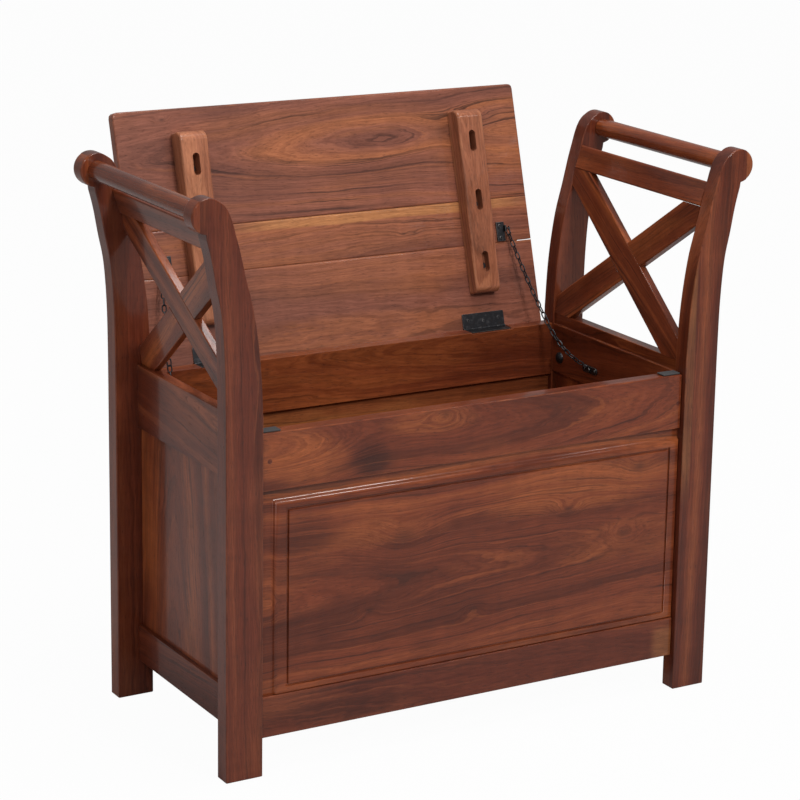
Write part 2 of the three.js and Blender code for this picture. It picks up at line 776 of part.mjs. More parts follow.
// Battens: thicker toward the front, with stepped slots that let the planks move
function batten_outline() {
  const rear = lid_rear - batten_start;
  const front = rear - batten_length;
  const rear_low = batten_face - batten_rear_thickness;
  const front_low = batten_face - batten_front_thickness;
  const shape = new THREE.Shape();
  shape.moveTo(rear, batten_face);
  shape.lineTo(front, batten_face);
  shape.lineTo(front, front_low + batten_front_radius);
  shape.quadraticCurveTo(front, front_low, front + batten_front_radius, front_low);
  shape.lineTo(rear - batten_rear_radius, rear_low);
  shape.quadraticCurveTo(rear, rear_low, rear, rear_low + batten_rear_radius);
  return shape;
}

function slot_cutter(x, y, width, length, z) {
  const half = (length - width) / 2;
  const shape = new THREE.Shape();
  shape.moveTo(x + width / 2, y - half);
  shape.lineTo(x + width / 2, y + half);
  shape.absarc(x, y + half, width / 2, 0, Math.PI, false);
  shape.lineTo(x - width / 2, y - half);
  shape.absarc(x, y - half, width / 2, Math.PI, 2 * Math.PI, false);
  const options = { depth: z[1] - z[0], bevelEnabled: false, curveSegments: edge_steps };
  return new THREE.ExtrudeGeometry(shape, options).translate(0, 0, z[0]);
}

const ledge_z = batten_face - slot_ledge;
for (const [side_name, x] of Object.entries(batten_places)) {
  const bar = prism_along_x(batten_outline(), [x - batten_width / 2, x + batten_width / 2], edge_steps);
  const cutters = [];
  const neck_length = slot_length - slot_width + slot_neck;
  for (const place of slot_places) {
    const y = lid_rear - place;
    const below = batten_face - batten_front_thickness - overrun;
    cutters.push(slot_cutter(x, y, slot_width, slot_length, [below, ledge_z]));
    cutters.push(slot_cutter(x, y, slot_neck, neck_length, [below, batten_face + overrun]));
  }
  add_piece(`${side_name}_lid_batten`, carve(bar, [], cutters), honey_wood, lid);
}

for (const { name, x, y } of screw_places) {
  const head_top = ledge_z - fit_gap;
  const head_low = head_top - screw_head_height;
  const tip = lid_underside + screw_depth;
  const profile = [
    [0, head_low], [screw_head_diameter / 2, head_low], [screw_head_diameter / 2, head_top],
    [screw_shank_diameter / 2, head_top], [screw_shank_diameter / 2, tip], [0, tip],
  ].map(([radius, height]) => new THREE.Vector2(radius, height));
  const screw = new THREE.LatheGeometry(profile, small_round_steps).rotateX(Math.PI / 2);
  add_piece(name, screw, dark_metal, lid).position.set(x, y, 0);
}

// Hinges: the frame leaf holds the odd knuckles, the lid leaf the even ones
const knuckle_length = (hinge_width - (hinge_knuckles - 1) * fit_gap) / hinge_knuckles;

function hinge_leaf(x, depth, up, parity) {
  const near = -(hinge_barrel_radius + fit_gap);
  const plate_z = mirrored(up, fit_gap / 2, fit_gap / 2 + hinge_leaf_thickness);
  const left = x - hinge_width / 2;
  const plate = block({ x: [left, left + hinge_width], y: [near - depth, near], z: plate_z });
  const knuckles = [];
  for (let index = parity; index < hinge_knuckles; index += 2) {
    const start = left + index * (knuckle_length + fit_gap);
    const span = [start, start + knuckle_length];
    const tab_end = -(hinge_bore_radius + hinge_barrel_radius) / 2;
    knuckles.push(block({ x: span, y: [near - overrun, tab_end], z: plate_z }));
    const ring = new THREE.Shape();
    ring.absarc(0, 0, hinge_barrel_radius, 0, 2 * Math.PI, false);
    const bore = new THREE.Path();
    bore.absarc(0, 0, hinge_bore_radius, 0, 2 * Math.PI, true);
    ring.holes.push(bore);
    knuckles.push(prism_along_x(ring, span, barrel_steps));
  }
  return carve(plate, knuckles, []);
}

const frame_hardware = new THREE.Group();
frame_hardware.position.set(0, pivot_y, pivot_z);
model.add(frame_hardware);
for (const [side_name, x] of Object.entries(hinge_places)) {
  const pin = rod_along_x(hinge_pin_radius, [x - hinge_width / 2, x + hinge_width / 2], 0, 0);
  const frame_leaf = hinge_leaf(x, frame_leaf_depth, -1, 0);
  add_piece(`${side_name}_hinge_frame_leaf`, frame_leaf, dark_metal, frame_hardware);
  add_piece(`${side_name}_hinge_pin`, pin, dark_metal, frame_hardware);
  add_piece(`${side_name}_hinge_lid_leaf`, hinge_leaf(x, lid_leaf_depth, 1, 1), dark_metal, lid);
}

// Chain plates on the lid, each with an ear and a headed stud for the first link
const plate_outer = lid_width / 2 - lid_plate_inset;
const stud_y = lid_rear - lid_stud_place;
const stud_z = lid_underside - lid_stud_drop;
const link_x = plate_outer + (lid_stud_length - stud_head_thickness) / 2;

for (const [side_name, side] of Object.entries(sides)) {
  const plate_top = lid_underside - fit_gap;
  const plate_bottom = plate_top - chain_plate_thickness;
  const plate = block({
    x: mirrored(side, plate_outer - lid_plate_width, plate_outer),
    y: [lid_rear - lid_plate_start - lid_plate_length, lid_rear - lid_plate_start],
    z: [plate_bottom, plate_top],
  });
  const ear = block({
    x: mirrored(side, plate_outer - chain_plate_thickness, plate_outer),
    y: [stud_y - lid_ear_length / 2, stud_y + lid_ear_length / 2],
    z: [plate_top - lid_ear_height, plate_top - chain_plate_thickness / 2],
  });
  const stud_end = plate_outer + lid_stud_length;
  const stud_span = mirrored(side, plate_outer - chain_plate_thickness / 2, stud_end);
  const head_span = mirrored(side, stud_end - stud_head_thickness, stud_end);
  const stud = rod_along_x(stud_radius, stud_span, stud_y, stud_z);
  const head = rod_along_x(stud_head_radius, head_span, stud_y, stud_z);
  add_piece(`${side_name}_lid_chain_plate`, carve(plate, [ear, stud, head], []), dark_metal, lid);
}

// Plates on the seat rails, each with a round eye that the chain ends beside
const wall_face = seat_rail_inner - fit_gap;
const wall_eye_face = wall_face - chain_plate_thickness - wall_eye_height;
for (const [side_name, side] of Object.entries(sides)) {
  const [y, z] = wall_plate_place;
  const plate = block({
    x: mirrored(side, wall_face - chain_plate_thickness, wall_face),
    y: [y - wall_plate_length / 2, y + wall_plate_length / 2],
    z: [z - wall_plate_height / 2, z + wall_plate_height / 2],
  });
  const eye_span = mirrored(side, wall_eye_face, wall_face - chain_plate_thickness / 2);
  const eye = rod_along_x(wall_eye_radius, eye_span, y, z);
  add_piece(`${side_name}_rail_chain_plate`, carve(plate, [eye], []), dark_metal);
}

// One flat link, a ring with round ends, lying in a plane across X
function link_geometry(side, x, y, z, direction) {
  const outer = new THREE.Shape();
  const hole = new THREE.Path();
  const trace = (path, radius) => {
    const half = (link_pitch + link_wire - link_width) / 2;
    for (let step = 0; step < 2 * link_corner_steps; step += 1) {
      const turn = Math.PI * (step + 0.5) / link_corner_steps;
      const shift = Math.cos(turn) > 0 ? half : -half;
      const a = shift + radius * Math.cos(turn);
      const b = radius * Math.sin(turn);
      if (step === 0) {
        path.moveTo(a, b);
      } else {
        path.lineTo(a, b);
      }
    }
  };
  trace(outer, link_width / 2);
  trace(hole, link_width / 2 - link_wire);
  outer.holes.push(hole);
  const ring = prism_along_x(outer, [-link_wire / 2, link_wire / 2]);
  return ring.rotateX(direction).translate(side * x, y, z);
}

// A run of links along a sagging chord, drifting across X, joined into one piece
function chain_run(side, start, end, sag, x_start, x_end) {
  const from = new THREE.Vector2(...start);
  const to = new THREE.Vector2(...end);
  const middle = from.clone().add(to).multiplyScalar(0.5);
  const chord = to.clone().sub(from);
  const down = new THREE.Vector2(-chord.y, chord.x).normalize();
  const low_point = middle.addScaledVector(down, 2 * sag);
  const curve = new THREE.QuadraticBezierCurve(from, low_point, to);
  const length = curve.getLength();
  const inset = (link_pitch - link_wire) / 2 - stud_radius - fit_gap;
  const steps = Math.round((length - 2 * inset) / link_pitch);
  const links = [];
  for (let index = 0; index <= steps; index += 1) {
    const share = (inset + (length - 2 * inset) * index / steps) / length;
    const place = curve.getPointAt(share);
    const heading = curve.getTangentAt(share);
    const x = x_start + (x_end - x_start) * index / steps;
    links.push(link_geometry(side, x, place.x, place.y, Math.atan2(heading.y, heading.x)));
  }
  return carve(links[0], links.slice(1), []);
}

const cos_open = Math.cos(open_angle);
const sin_open = Math.sin(open_angle);
const stud_place = [
  pivot_y + stud_y * cos_open + stud_z * sin_open,
  pivot_z - stud_y * sin_open + stud_z * cos_open,
];
const upper_end_x = seat_rail_inner - knee_side_gap;
const lower_start_x = upper_end_x + link_wire + fit_gap;
const lower_end_x = wall_eye_face - fit_gap - link_wire / 2;
for (const [side_name, side] of Object.entries(sides)) {
  const upper = chain_run(side, stud_place, knee_place, upper_run_sag, link_x, upper_end_x);
  const lower = chain_run(side, knee_place, wall_end_place, lower_run_sag, lower_start_x, lower_end_x);
  add_piece(`${side_name}_chain_upper`, upper, dark_metal);
  add_piece(`${side_name}_chain_lower`, lower, dark_metal);
}

// The origin moves back from the middle of the legs, halfway to the edge of the open lid
const lid_front = lid_rear - rear_plank_depth - middle_plank_depth - front_plank_depth + fit_gap;
const lid_back_edge = pivot_y + lid_front * cos_open + (lid_underside + lid_thickness) * sin_open;
model.position.y = -(lid_back_edge - leg_back) / 2;

export default model;
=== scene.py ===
# %% [markdown]
# # A hardwood settle bench
#
# This lesson dresses a measured model of a small settle bench: a box seat with a lid that stays
# open on chains, between two curved arms with lapped diagonal braces. The measured solids are the
# fixed frame. Each visible piece is modelled again on them with eased edges, and each board gets
# its own cut of figured wood.

# %% Load the frame
import math

import bmesh
import bpy
from mathutils import Euler, Matrix, Vector


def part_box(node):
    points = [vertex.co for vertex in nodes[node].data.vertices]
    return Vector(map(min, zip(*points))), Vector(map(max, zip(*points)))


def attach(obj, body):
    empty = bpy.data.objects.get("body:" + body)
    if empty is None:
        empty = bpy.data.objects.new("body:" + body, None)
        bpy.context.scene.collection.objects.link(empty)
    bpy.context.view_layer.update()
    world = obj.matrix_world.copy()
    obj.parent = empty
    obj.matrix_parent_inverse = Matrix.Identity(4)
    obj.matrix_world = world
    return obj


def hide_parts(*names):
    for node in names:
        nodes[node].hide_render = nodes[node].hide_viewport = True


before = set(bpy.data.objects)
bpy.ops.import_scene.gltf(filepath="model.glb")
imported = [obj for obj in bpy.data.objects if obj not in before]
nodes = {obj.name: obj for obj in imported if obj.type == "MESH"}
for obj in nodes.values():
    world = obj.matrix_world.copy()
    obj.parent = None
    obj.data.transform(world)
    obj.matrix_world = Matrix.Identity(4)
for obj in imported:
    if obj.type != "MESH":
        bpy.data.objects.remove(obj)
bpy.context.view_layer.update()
mm = 0.001
sides = {"left": -1, "right": 1}
ends = {"front": -1, "back": 1}
print("frame loaded:", len(nodes), "nodes")

# %% [markdown]
# ## Camera
#
# The photograph was taken from the front left, a little above the arms, with a long lens. The
# place, the turn and the lens were solved from the straight edges of the bench. A camera looks
# down its own -Z, so its matrix is built from the right, up and backward directions.

# %% Camera
turn, tip, roll = (math.radians(a) for a in (31.35, 14.37, 1.24))
across = Vector((math.cos(turn), -math.sin(turn), 0))
ahead = Vector((math.sin(turn) * math.cos(tip), math.cos(turn) * math.cos(tip), -math.sin(tip)))
above = across.cross(ahead)
right = across * math.cos(roll) + above * math.sin(roll)
up = above * math.cos(roll) - across * math.sin(roll)
lens_data = bpy.data.cameras.new("camera")
lens_data.sensor_width = 36
lens_data.lens = 122.52
lens_data.shift_x = -0.0732
lens_data.shift_y = -0.0679
camera = bpy.data.objects.new("camera", lens_data)
place = Vector((-1.70672, -2.96079, 1.33052))
camera.matrix_world = Matrix.Translation(place) @ Matrix((right, up, -ahead)).transposed().to_4x4()
bpy.context.scene.collection.objects.link(camera)
bpy.context.scene.camera = camera
print("camera at", tuple(round(c, 3) for c in place))

# %% [markdown]
# ## Writing shader maths as sums
#
# A wood finish is a long sum of noises. Written as node links it can't be read, so an output
# socket is wrapped in a small class whose plus, minus and times signs add Math nodes. Every other
# node comes from one method of the finish.

# %% Channels and finishes
class Channel:
    """One output socket of a finish, which can be added, multiplied and compared."""

    def __init__(self, finish, socket):
        self.finish = finish
        self.socket = socket

    def math(self, operation, *others):
        values = dict(enumerate((self, *others)))
        return self.finish.node("Math", {"operation": operation}, values)

    def __add__(self, other):
        return self.math("ADD", other)

    def __sub__(self, other):
        return self.math("SUBTRACT", other)

    def __rsub__(self, other):
        return (self * -1) + other

    def __mul__(self, other):
        return self.math("MULTIPLY", other)

    def __truediv__(self, other):
        return self.math("DIVIDE", other)

    __radd__ = __add__
    __rmul__ = __mul__

    def ease(self, low, high):
        """0 below low and 1 above high, with a soft ramp between, or the reverse if low > high."""
        values = {"Value": self, "From Min": min(low, high), "From Max": max(low, high)}
        ramp = self.finish.node("MapRange", {"interpolation_type": "SMOOTHSTEP"}, values)
        return ramp if low < high else 1 - ramp


def paint(red, green, blue):
    """A colour given in screen values from 0 to 255, as the linear colour that a shader takes."""
    linear = [((c / 255 + 0.055) / 1.055) ** 2.4 if c > 10 else c / 255 / 12.92 for c in (red, green, blue)]
    return (*linear, 1)


class Finish:
    """A material under construction, or a world where one is given."""

    def __init__(self, name, world=None):
        self.material = world or bpy.data.materials.new(name)
        self.material.use_nodes = True
        self.tree = self.material.node_tree
        self.tree.nodes.clear()

    def node(self, kind, settings=None, values=None, output=0):
        made = self.tree.nodes.new("ShaderNode" + kind)
        for key, value in (settings or {}).items():
            if key == "stops":
                ramp = made.color_ramp
                while len(ramp.elements) < len(value):
                    ramp.elements.new(1)
                for element, (position, colour) in zip(ramp.elements, value):
                    element.position = position
                    element.color = colour
            else:
                setattr(made, key, value)
        for key, value in (values or {}).items():
            if isinstance(value, Channel):
                self.tree.links.new(value.socket, made.inputs[key])
            else:
                made.inputs[key].default_value = value
        return Channel(self, made.outputs[output]) if made.outputs else None

    def mix(self, factor, first, second, blend="MIX"):
        values = {0: factor, 6: first, 7: second}
        return self.node("Mix", {"data_type": "RGBA", "blend_type": blend}, values, 2)

    def noise(self, vector, scale, detail=2.0, roughness=0.5, offset=0.0):
        moved = (offset, offset * 1.7, offset * 2.3)
        stretched = self.node("Mapping", {}, {0: vector, 1: moved, 3: scale})
        return self.node("TexNoise", {}, {
            "Vector": stretched, "Scale": 1.0, "Detail": detail, "Roughness": roughness})

    def surface(self, shader):
        self.node("OutputMaterial", {}, {"Surface": shader})
        return self.material

    def skin(self, colour, roughness, height, strength, distance, extra=()):
        """Closes a material with a colour, a roughness and fine relief, as deep as the distance."""
        relief = self.node("Bump", {}, {"Strength": strength, "Distance": distance, "Height": height})
        inputs = {"Base Color": colour, "Roughness": roughness, "Normal": relief}
        return self.surface(self.node("BsdfPrincipled", {}, {**inputs, **dict(extra)}))

    def attribute(self, name):
        return self.node("Attribute", {"attribute_name": name}, {}, "Fac")

    def place(self):
        return self.node("TexCoord", {}, {}, "Object")


# %% [markdown]
# ## Figured hardwood
#
# Real figure comes from cutting a flat board out of a log. The growth rings are cylinders round
# the pith, and where the board runs nearly along them the saw leaves long arches. So the finish
# measures how far each point lies from a tilted pith line, and reads an uneven band of colour
# from that distance. Knots push the rings aside. Fine fibres, pores and broad stains go on top,
# and the eased edges are rubbed lighter.
#
# A flat picture of wood would slide round corners. This pattern is solid, so the grain of each
# end and edge meets that of the face, as it does on a sawn board.

# %% Wood
quarter = math.pi / 2
grain_turns = {"x": (0, 0, 0), "y": (0, 0, -quarter), "z": (0, quarter, 0)}
tones = {
    "heart": [(70, 28, 15), (114, 53, 30), (156, 84, 44)],
    "rosy": [(96, 55, 44), (134, 80, 62), (162, 96, 58)],
    "leg": [(62, 25, 15), (96, 42, 25), (134, 71, 42)],
    "honey": [(96, 46, 24), (140, 76, 44), (176, 110, 64)],
    "pale": [(132, 78, 54), (162, 101, 74), (182, 120, 84)],
}
vein_tone, sapwood_tone = paint(40, 21, 16), paint(184, 124, 74)


def wood(name, grain, centre, tone, pith=(0.0, -0.06), tilt=0.02, rings=90.0, seed=0.0, knots=(),
         bands=(), patches=(), joint=None, stain=0.5, gloss=0.32, veins=0.6, turned=None):
    """A finish for one board. Grain is the board's long axis; pith is its centre of growth, across and
    in depth from the board's middle. Knots are (along, across, size, push), bands are stripes of
    sapwood as spans along some of the axes with a strength, patches are (along, across, reach,
    reach across, tone, strength), and joint is the place across where a second plank begins."""
    finish = Finish(name)
    deep, plain, warm = (paint(*c) for c in tones[tone])
    shades = {"deep": deep, "warm": warm}
    place = finish.place()
    turn = turned or grain_turns[grain]
    shift = -(Euler(turn).to_matrix() @ Vector(centre))
    board = finish.node("Mapping", {}, {0: place, 1: shift, 2: turn})
    along = finish.node("SeparateXYZ", {}, {0: board}, 0)
    split = along.socket.node
    across, depth = Channel(finish, split.outputs[1]), Channel(finish, split.outputs[2])
    above = across.ease(joint - 0.0003, joint + 0.0003) if joint else None
    if joint:
        board = finish.node("CombineXYZ", {}, {
            0: along + above * 0.63, 1: across, 2: depth + above * 0.2})

    sway = finish.noise(board, (2.2, 6.5, 6.5), 2.0, 0.5, seed) - 0.5
    wobble = finish.noise(board, (10.0, 42.0, 42.0), 3.0, 0.6, seed + 3.1) - 0.5
    off_pith = across + sway * 0.05 - pith[0]
    under = depth + along * tilt - pith[1]
    radius = (off_pith * off_pith + under * under).math("SQRT")
    cores = None
    for at_along, at_across, size, push in knots:
        run, side = (along - at_along) * 0.55, across - at_across
        reach = (run * run + side * side) / (size * size)
        radius = radius + (reach * -0.35).math("EXPONENT") * push
        core = (reach * -3.0).math("EXPONENT")
        cores = core if cores is None else cores.math("MAXIMUM", core)
    growth = radius * rings + wobble * 0.7 + seed
    flow = finish.node("CombineXYZ", {}, {0: along, 1: radius + wobble * 0.003, 2: across})
    if joint:
        growth = growth + above * 4.3

    def ring_noise(place, detail, roughness):
        values = {"W": place, "Scale": 1.0, "Detail": detail, "Roughness": roughness}
        return finish.node("TexNoise", {"noise_dimensions": "1D"}, values)

    def shaded(mask, dark, light, strength=1.0):
        """The colour so far times a ramp over a mask, between two stops of (place, shade)."""
        stops = [(at, (*shade, 1)) for at, shade in (dark, light)]
        ramp = finish.node("ValToRGB", {"stops": stops}, {0: mask})
        return finish.mix(strength, colour, ramp, "MULTIPLY")

    slow = ring_noise(growth * 0.5, 1.5, 0.55)
    lines = ring_noise(growth * 2.4 + 5.0, 3.0, 0.7)
    fine = ring_noise(growth * 7.5 + 2.0, 2.0, 0.65)
    broad = finish.noise(board, (3.2, 11.0, 11.0), 3.0, 0.55, seed + 7.7)
    where = finish.noise(board, (4.6, 21.0, 21.0), 2.0, 0.5, seed + 12.4).ease(0.40, 0.64)

    colour = finish.mix(slow.ease(0.34, 0.56), finish.mix(0.4, deep, plain), plain)
    colour = finish.mix(slow.ease(0.52, 0.74) * 0.7, colour, warm)
    colour = finish.mix(broad.ease(0.50, 0.72) * stain, colour, warm)
    colour = finish.mix(broad.ease(0.48, 0.28) * stain, colour, deep)
    for at_along, at_across, reach_along, reach_across, shade, strength in patches:
        run, side = (along - at_along) / reach_along, (across - at_across) / reach_across
        reach = run * run + side * side + wobble * 1.2 + sway * 1.5
        streaky = lines.ease(0.36, 0.60) * 0.6 + 0.4
        colour = finish.mix(reach.ease(1.3, 0.2) * streaky * strength, colour, shades[shade])
    thin = lines.ease(0.55, 0.67) * (where * 0.8 + 0.2) * veins
    colour = finish.mix(thin, colour, vein_tone)
    colour = finish.mix(lines.ease(0.42, 0.30) * 0.35 * where, colour, warm)
    axes = {"along": along, "across": across, "depth": depth}
    for spans, strength in bands:
        inside = strength
        for axis, (low, high) in spans.items():
            spot, soft = axes[axis] + wobble * 0.005, (high - low) * 0.2
            inside = spot.ease(low, low + soft) * spot.ease(high, high - soft) * inside
        colour = finish.mix(inside, colour, sapwood_tone)
    if cores is not None:
        colour = finish.mix(cores * 0.5, colour, vein_tone)
    colour = shaded(fine, (0.34, (0.84, 0.81, 0.80)), (0.62, (1.08, 1.09, 1.10)), 0.8)

    fibre = finish.noise(flow, (26.0, 480.0, 260.0), 3.0, 0.65, seed + 1.3)
    colour = shaded(fibre, (0.30, (0.80, 0.76, 0.74)), (0.66, (1.14, 1.15, 1.16)))
    curl = finish.noise(board, (60.0, 14.0, 14.0), 2.0, 0.5, seed + 5.2)
    colour = shaded(curl, (0.3, (0.94, 0.94, 0.94)), (0.7, (1.06, 1.06, 1.06)))
    pores = finish.noise(flow, (95.0, 1150.0, 900.0), 1.0, 0.5, seed + 9.4).ease(0.60, 0.72)
    colour = finish.mix(pores * 0.4, colour, vein_tone)

    worn = finish.attribute("worn")
    rubbed = finish.noise(board, (30.0, 30.0, 30.0), 3.0, 0.6, seed + 2.2).ease(0.44, 0.70)
    colour = finish.mix(worn * rubbed * 0.4, colour, warm)

    roughness = fibre * 0.12 + pores * 0.15 + (gloss - 0.05)
    height = fibre * 0.5 - pores * 0.8 + finish.noise(board, (6.0, 25.0, 25.0), 1.0, 0.5, seed) * 4.0
    return finish.skin(colour, roughness, height, 0.35, 0.0004,
                       {"IOR": 1.25, "Coat Weight": 0.4, "Coat Roughness": 0.1})


print("wood tones:", ", ".join(tones))

# %% [markdown]
# ## Blackened steel and dark pads
#
# The hinges, chains and screws are blackened steel, rubbed brighter in places. The pads under the
# lid are dull and dark.

# %% Metal and pads
def steel(name):
    finish = Finish(name)
    place = finish.place()
    blotch = finish.noise(place, (160.0, 160.0, 160.0), 3.0, 0.6)
    grit = finish.noise(place, (1400.0, 1400.0, 1400.0), 2.0, 0.5, 4.0)
    colour = finish.mix(blotch.ease(0.45, 0.75), paint(44, 44, 47), paint(68, 67, 69))
    colour = finish.mix(blotch.ease(0.42, 0.28) * 0.35, colour, paint(62, 48, 40))
    worn = finish.attribute("worn")
    colour = finish.mix(worn * 0.5, colour, paint(128, 124, 120))
    return finish.skin(colour, grit * 0.2 + 0.32, grit, 0.25, 0.0002, {"Metallic": 0.8})


def dull_pad(name):
    finish = Finish(name)
    place = finish.place()
    nap = finish.noise(place, (900.0, 900.0, 900.0), 3.0, 0.6)
    colour = finish.mix(nap, paint(40, 39, 40), paint(72, 70, 70))
    return finish.skin(colour, 0.85, nap, 0.5, 0.0003)


black_steel = steel("black_steel")
pad_finish = dull_pad("pad")
print("finishes made:", black_steel.name, pad_finish.name)

# %% [markdown]
# ## Making pieces
#
# Every arris of a real bench is eased with a plane or sandpaper, and that narrow round is what
# catches the light. So each bmesh gets a bevel, whose faces are marked as worn for the finish.
# A weighted-normal modifier keeps the broad faces flat and only the rounds soft.

# %% Piece helpers
def blank():
    mesh = bmesh.new()
    mesh.faces.layers.float.new("worn")
    return mesh


def ease_edges(mesh, edges, width, segments=3):
    worn = mesh.faces.layers.float["worn"]
    made = bmesh.ops.bevel(mesh, geom=list(edges), offset=width, offset_type="OFFSET", segments=segments,
                           profile=0.5, affect="EDGES", clamp_overlap=True, material=-1)
    for face in made["faces"]:
        face[worn] = 1.0
    return mesh


def sharp(mesh, least=30):
    return [e for e in mesh.edges if len(e.link_faces) == 2 and e.calc_face_angle() > math.radians(least)]


def block(low, high):
    mesh = blank()
    bmesh.ops.create_cube(mesh, size=1)
    bmesh.ops.scale(mesh, vec=high - low, verts=mesh.verts)
    bmesh.ops.translate(mesh, vec=(low + high) / 2, verts=mesh.verts)
    return mesh


def box(low, high, width, segments=3):
    """A block with all its edges eased."""
    mesh = block(low, high)
    return ease_edges(mesh, mesh.edges, width, segments)


def disc(radius, depth, rounding, steps=2, segments=20):
    """A short round bar on Z about the origin, with its rims rounded."""
    mesh = blank()
    bmesh.ops.create_cone(mesh, cap_ends=True, segments=segments, radius1=radius, radius2=radius,
                          depth=depth)
    return ease_edges(mesh, sharp(mesh, 60), rounding, steps)


def draw_out(mesh, move):
    """Extrudes the flat faces of a bmesh into a solid."""
    made = bmesh.ops.extrude_face_region(mesh, geom=list(mesh.faces))
    moved = [v for v in made["geom"] if isinstance(v, bmesh.types.BMVert)]
    bmesh.ops.translate(mesh, vec=move, verts=moved)
    bmesh.ops.recalc_face_normals(mesh, faces=mesh.faces)
    return mesh


def solid_of(node):
    """The measured solid of a node, with its flat faces whole again."""
    mesh = blank()
    mesh.from_mesh(nodes[node].data)
    bmesh.ops.remove_doubles(mesh, verts=mesh.verts, dist=0.01 * mm)
    bmesh.ops.dissolve_limit(mesh, angle_limit=math.radians(0.6), verts=mesh.verts, edges=mesh.edges)
    return mesh


def mesh_data(name, mesh):
    """Turns a bmesh into mesh data."""
    data = bpy.data.meshes.new(name)
    mesh.to_mesh(data)
    mesh.free()
    return data


def add_into(mesh, other):
    """Adds another bmesh to this one."""
    carrier = mesh_data("carrier", other)
    mesh.from_mesh(carrier)
    bpy.data.meshes.remove(carrier)
    return mesh


def to_object(name, mesh):
    made = bpy.data.objects.new(name, mesh_data(name, mesh))
    bpy.context.scene.collection.objects.link(made)
    return made


def cut_away(mesh, cutter):
    """The first bmesh less the second."""
    whole, tool = to_object("whole", mesh), to_object("tool", cutter)
    cut = whole.modifiers.new("cut", "BOOLEAN")
    cut.object = tool
    cut.solver = "EXACT"
    ready = whole.evaluated_get(bpy.context.evaluated_depsgraph_get())
    result = blank()
    result.from_mesh(ready.to_mesh())
    ready.to_mesh_clear()
    for scrap in (whole, tool):
        bpy.data.objects.remove(scrap)
    return result


def piece(name, mesh, finish, body, stands_for=()):
    bmesh.ops.recalc_face_normals(mesh, faces=mesh.faces)
    for face in mesh.faces:
        face.smooth = True
    made = to_object(name, mesh)
    made.data.materials.append(finish)
    made.data.set_sharp_from_angle(angle=math.radians(50))
    soften = made.modifiers.new("flat faces", "WEIGHTED_NORMAL")
    soften.keep_sharp = True
    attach(made, body)
    if stands_for:
        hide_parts(*stands_for)
    return made


def middle(node):
    low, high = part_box(node)
    return (low + high) / 2


def wooden(name, mesh, node, slot, grain, tone, centre=None, body="frame", **looks):
    """A board that stands for a measured solid and gets its own cut of wood."""
    finish = wood(f"wood_{node}", grain, middle(node) if centre is None else centre, tone, **looks)
    piece(name, mesh, finish, body, [node])


def fitting(part, side_name, mesh, body):
    """A steel fitting that is there once on each side."""
    piece(f"{part}.{side_name}", mesh, black_steel, body, [f"{side_name}_{part}"])


half_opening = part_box("front_panel")[1].x
side_low, side_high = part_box("left_panel")
print("opening", round(2 * half_opening, 4), "m wide")

# %% [markdown]
# ## Legs
#
# Each leg is one board: straight to the seat, then sweeping out to a scrolled head. Its outline is
# a smooth curve through a few points, drawn out to the board's thickness. The outer slice of the
# head is a separate block, glued on flush, so the arris isn't eased along that joint.

# %% Leg outline
leg_low, leg_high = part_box("front_right_leg")
leg_inner = leg_low.x
leg_width = 49 * mm
bend = 450 * mm
head_x, head_z, head_radius = 375 * mm, 698.5 * mm, 21.5 * mm
head_cut = leg_high.x
head_start = math.radians(125)
quirk_angle = math.radians(-82)
quirk = (head_x + 2.2 * mm, head_z - head_radius - 6 * mm)
inner_shares = [(0.246, 0.06), (0.474, 0.198), (0.644, 0.387), (0.771, 0.523),
                (0.846, 0.617), (0.903, 0.69), (0.946, 0.767), (0.979, 0.869)]
outer_shares = [(0.315, 0.04), (0.572, 0.2), (0.743, 0.5), (0.892, 0.75)]


def on_head(angle):
    return (head_x + head_radius * math.cos(angle), head_z + head_radius * math.sin(angle))


def arc(start, stop, steps=14):
    return [on_head(start + (stop - start) * i / steps) for i in range(steps + 1)]


def through(points, steps=9):
    """A smooth curve through points, from the second on, by cubic blends of their neighbours."""
    made = []
    last = len(points) - 1
    for i in range(last):
        before, a, b, after = (Vector(points[min(max(k, 0), last)]) for k in (i - 1, i, i + 1, i + 2))
        for step in range(1, steps + 1):
            t = step / steps
            cubic = (-before + 3 * a - 3 * b + after) * t ** 3
            square = (2 * before - 5 * a + 4 * b - after) * t ** 2
            made.append(tuple((cubic + square + (b - before) * t + 2 * a) / 2))
    return made


def swept(x, end, shares):
    """The points of an edge of the arm, at shares of its rise and of its sweep above the bend."""
    between = [(x + sweep * (end[0] - x), bend + rise * (end[1] - bend)) for rise, sweep in shares]
    return [(x, bend)] + between + [end]


inner = swept(leg_inner, on_head(head_start), inner_shares)
leg_outer = leg_inner + leg_width
outer = swept(leg_outer, quirk, outer_shares)
cut_angle = math.acos((head_cut - head_x) / head_radius)
leg_points = [(leg_inner, 0.0), (leg_inner, bend)] + through(inner) + arc(head_start, cut_angle)[1:]
leg_points += arc(-cut_angle, quirk_angle, 6) + [quirk] + through(outer[::-1]) + [(leg_outer, 0.0)]
block_reach = math.acos((head_cut + 0.05 * mm - head_x) / head_radius)
block_points = arc(-block_reach, block_reach, 12)
print("leg outline:", len(leg_points), "points")

# %% Legs and scroll blocks
leg_sapwood = [({"depth": (0.010, 0.0265), "across": (-0.03, -0.0095), "along": (-0.06, 0.34)}, 0.3)]
leg_round = 2.4 * mm


def board_from(points, side, near, far):
    mesh = blank()
    mesh.faces.new([mesh.verts.new((side * x, near, z)) for x, z in points])
    return draw_out(mesh, (0, far - near, 0))


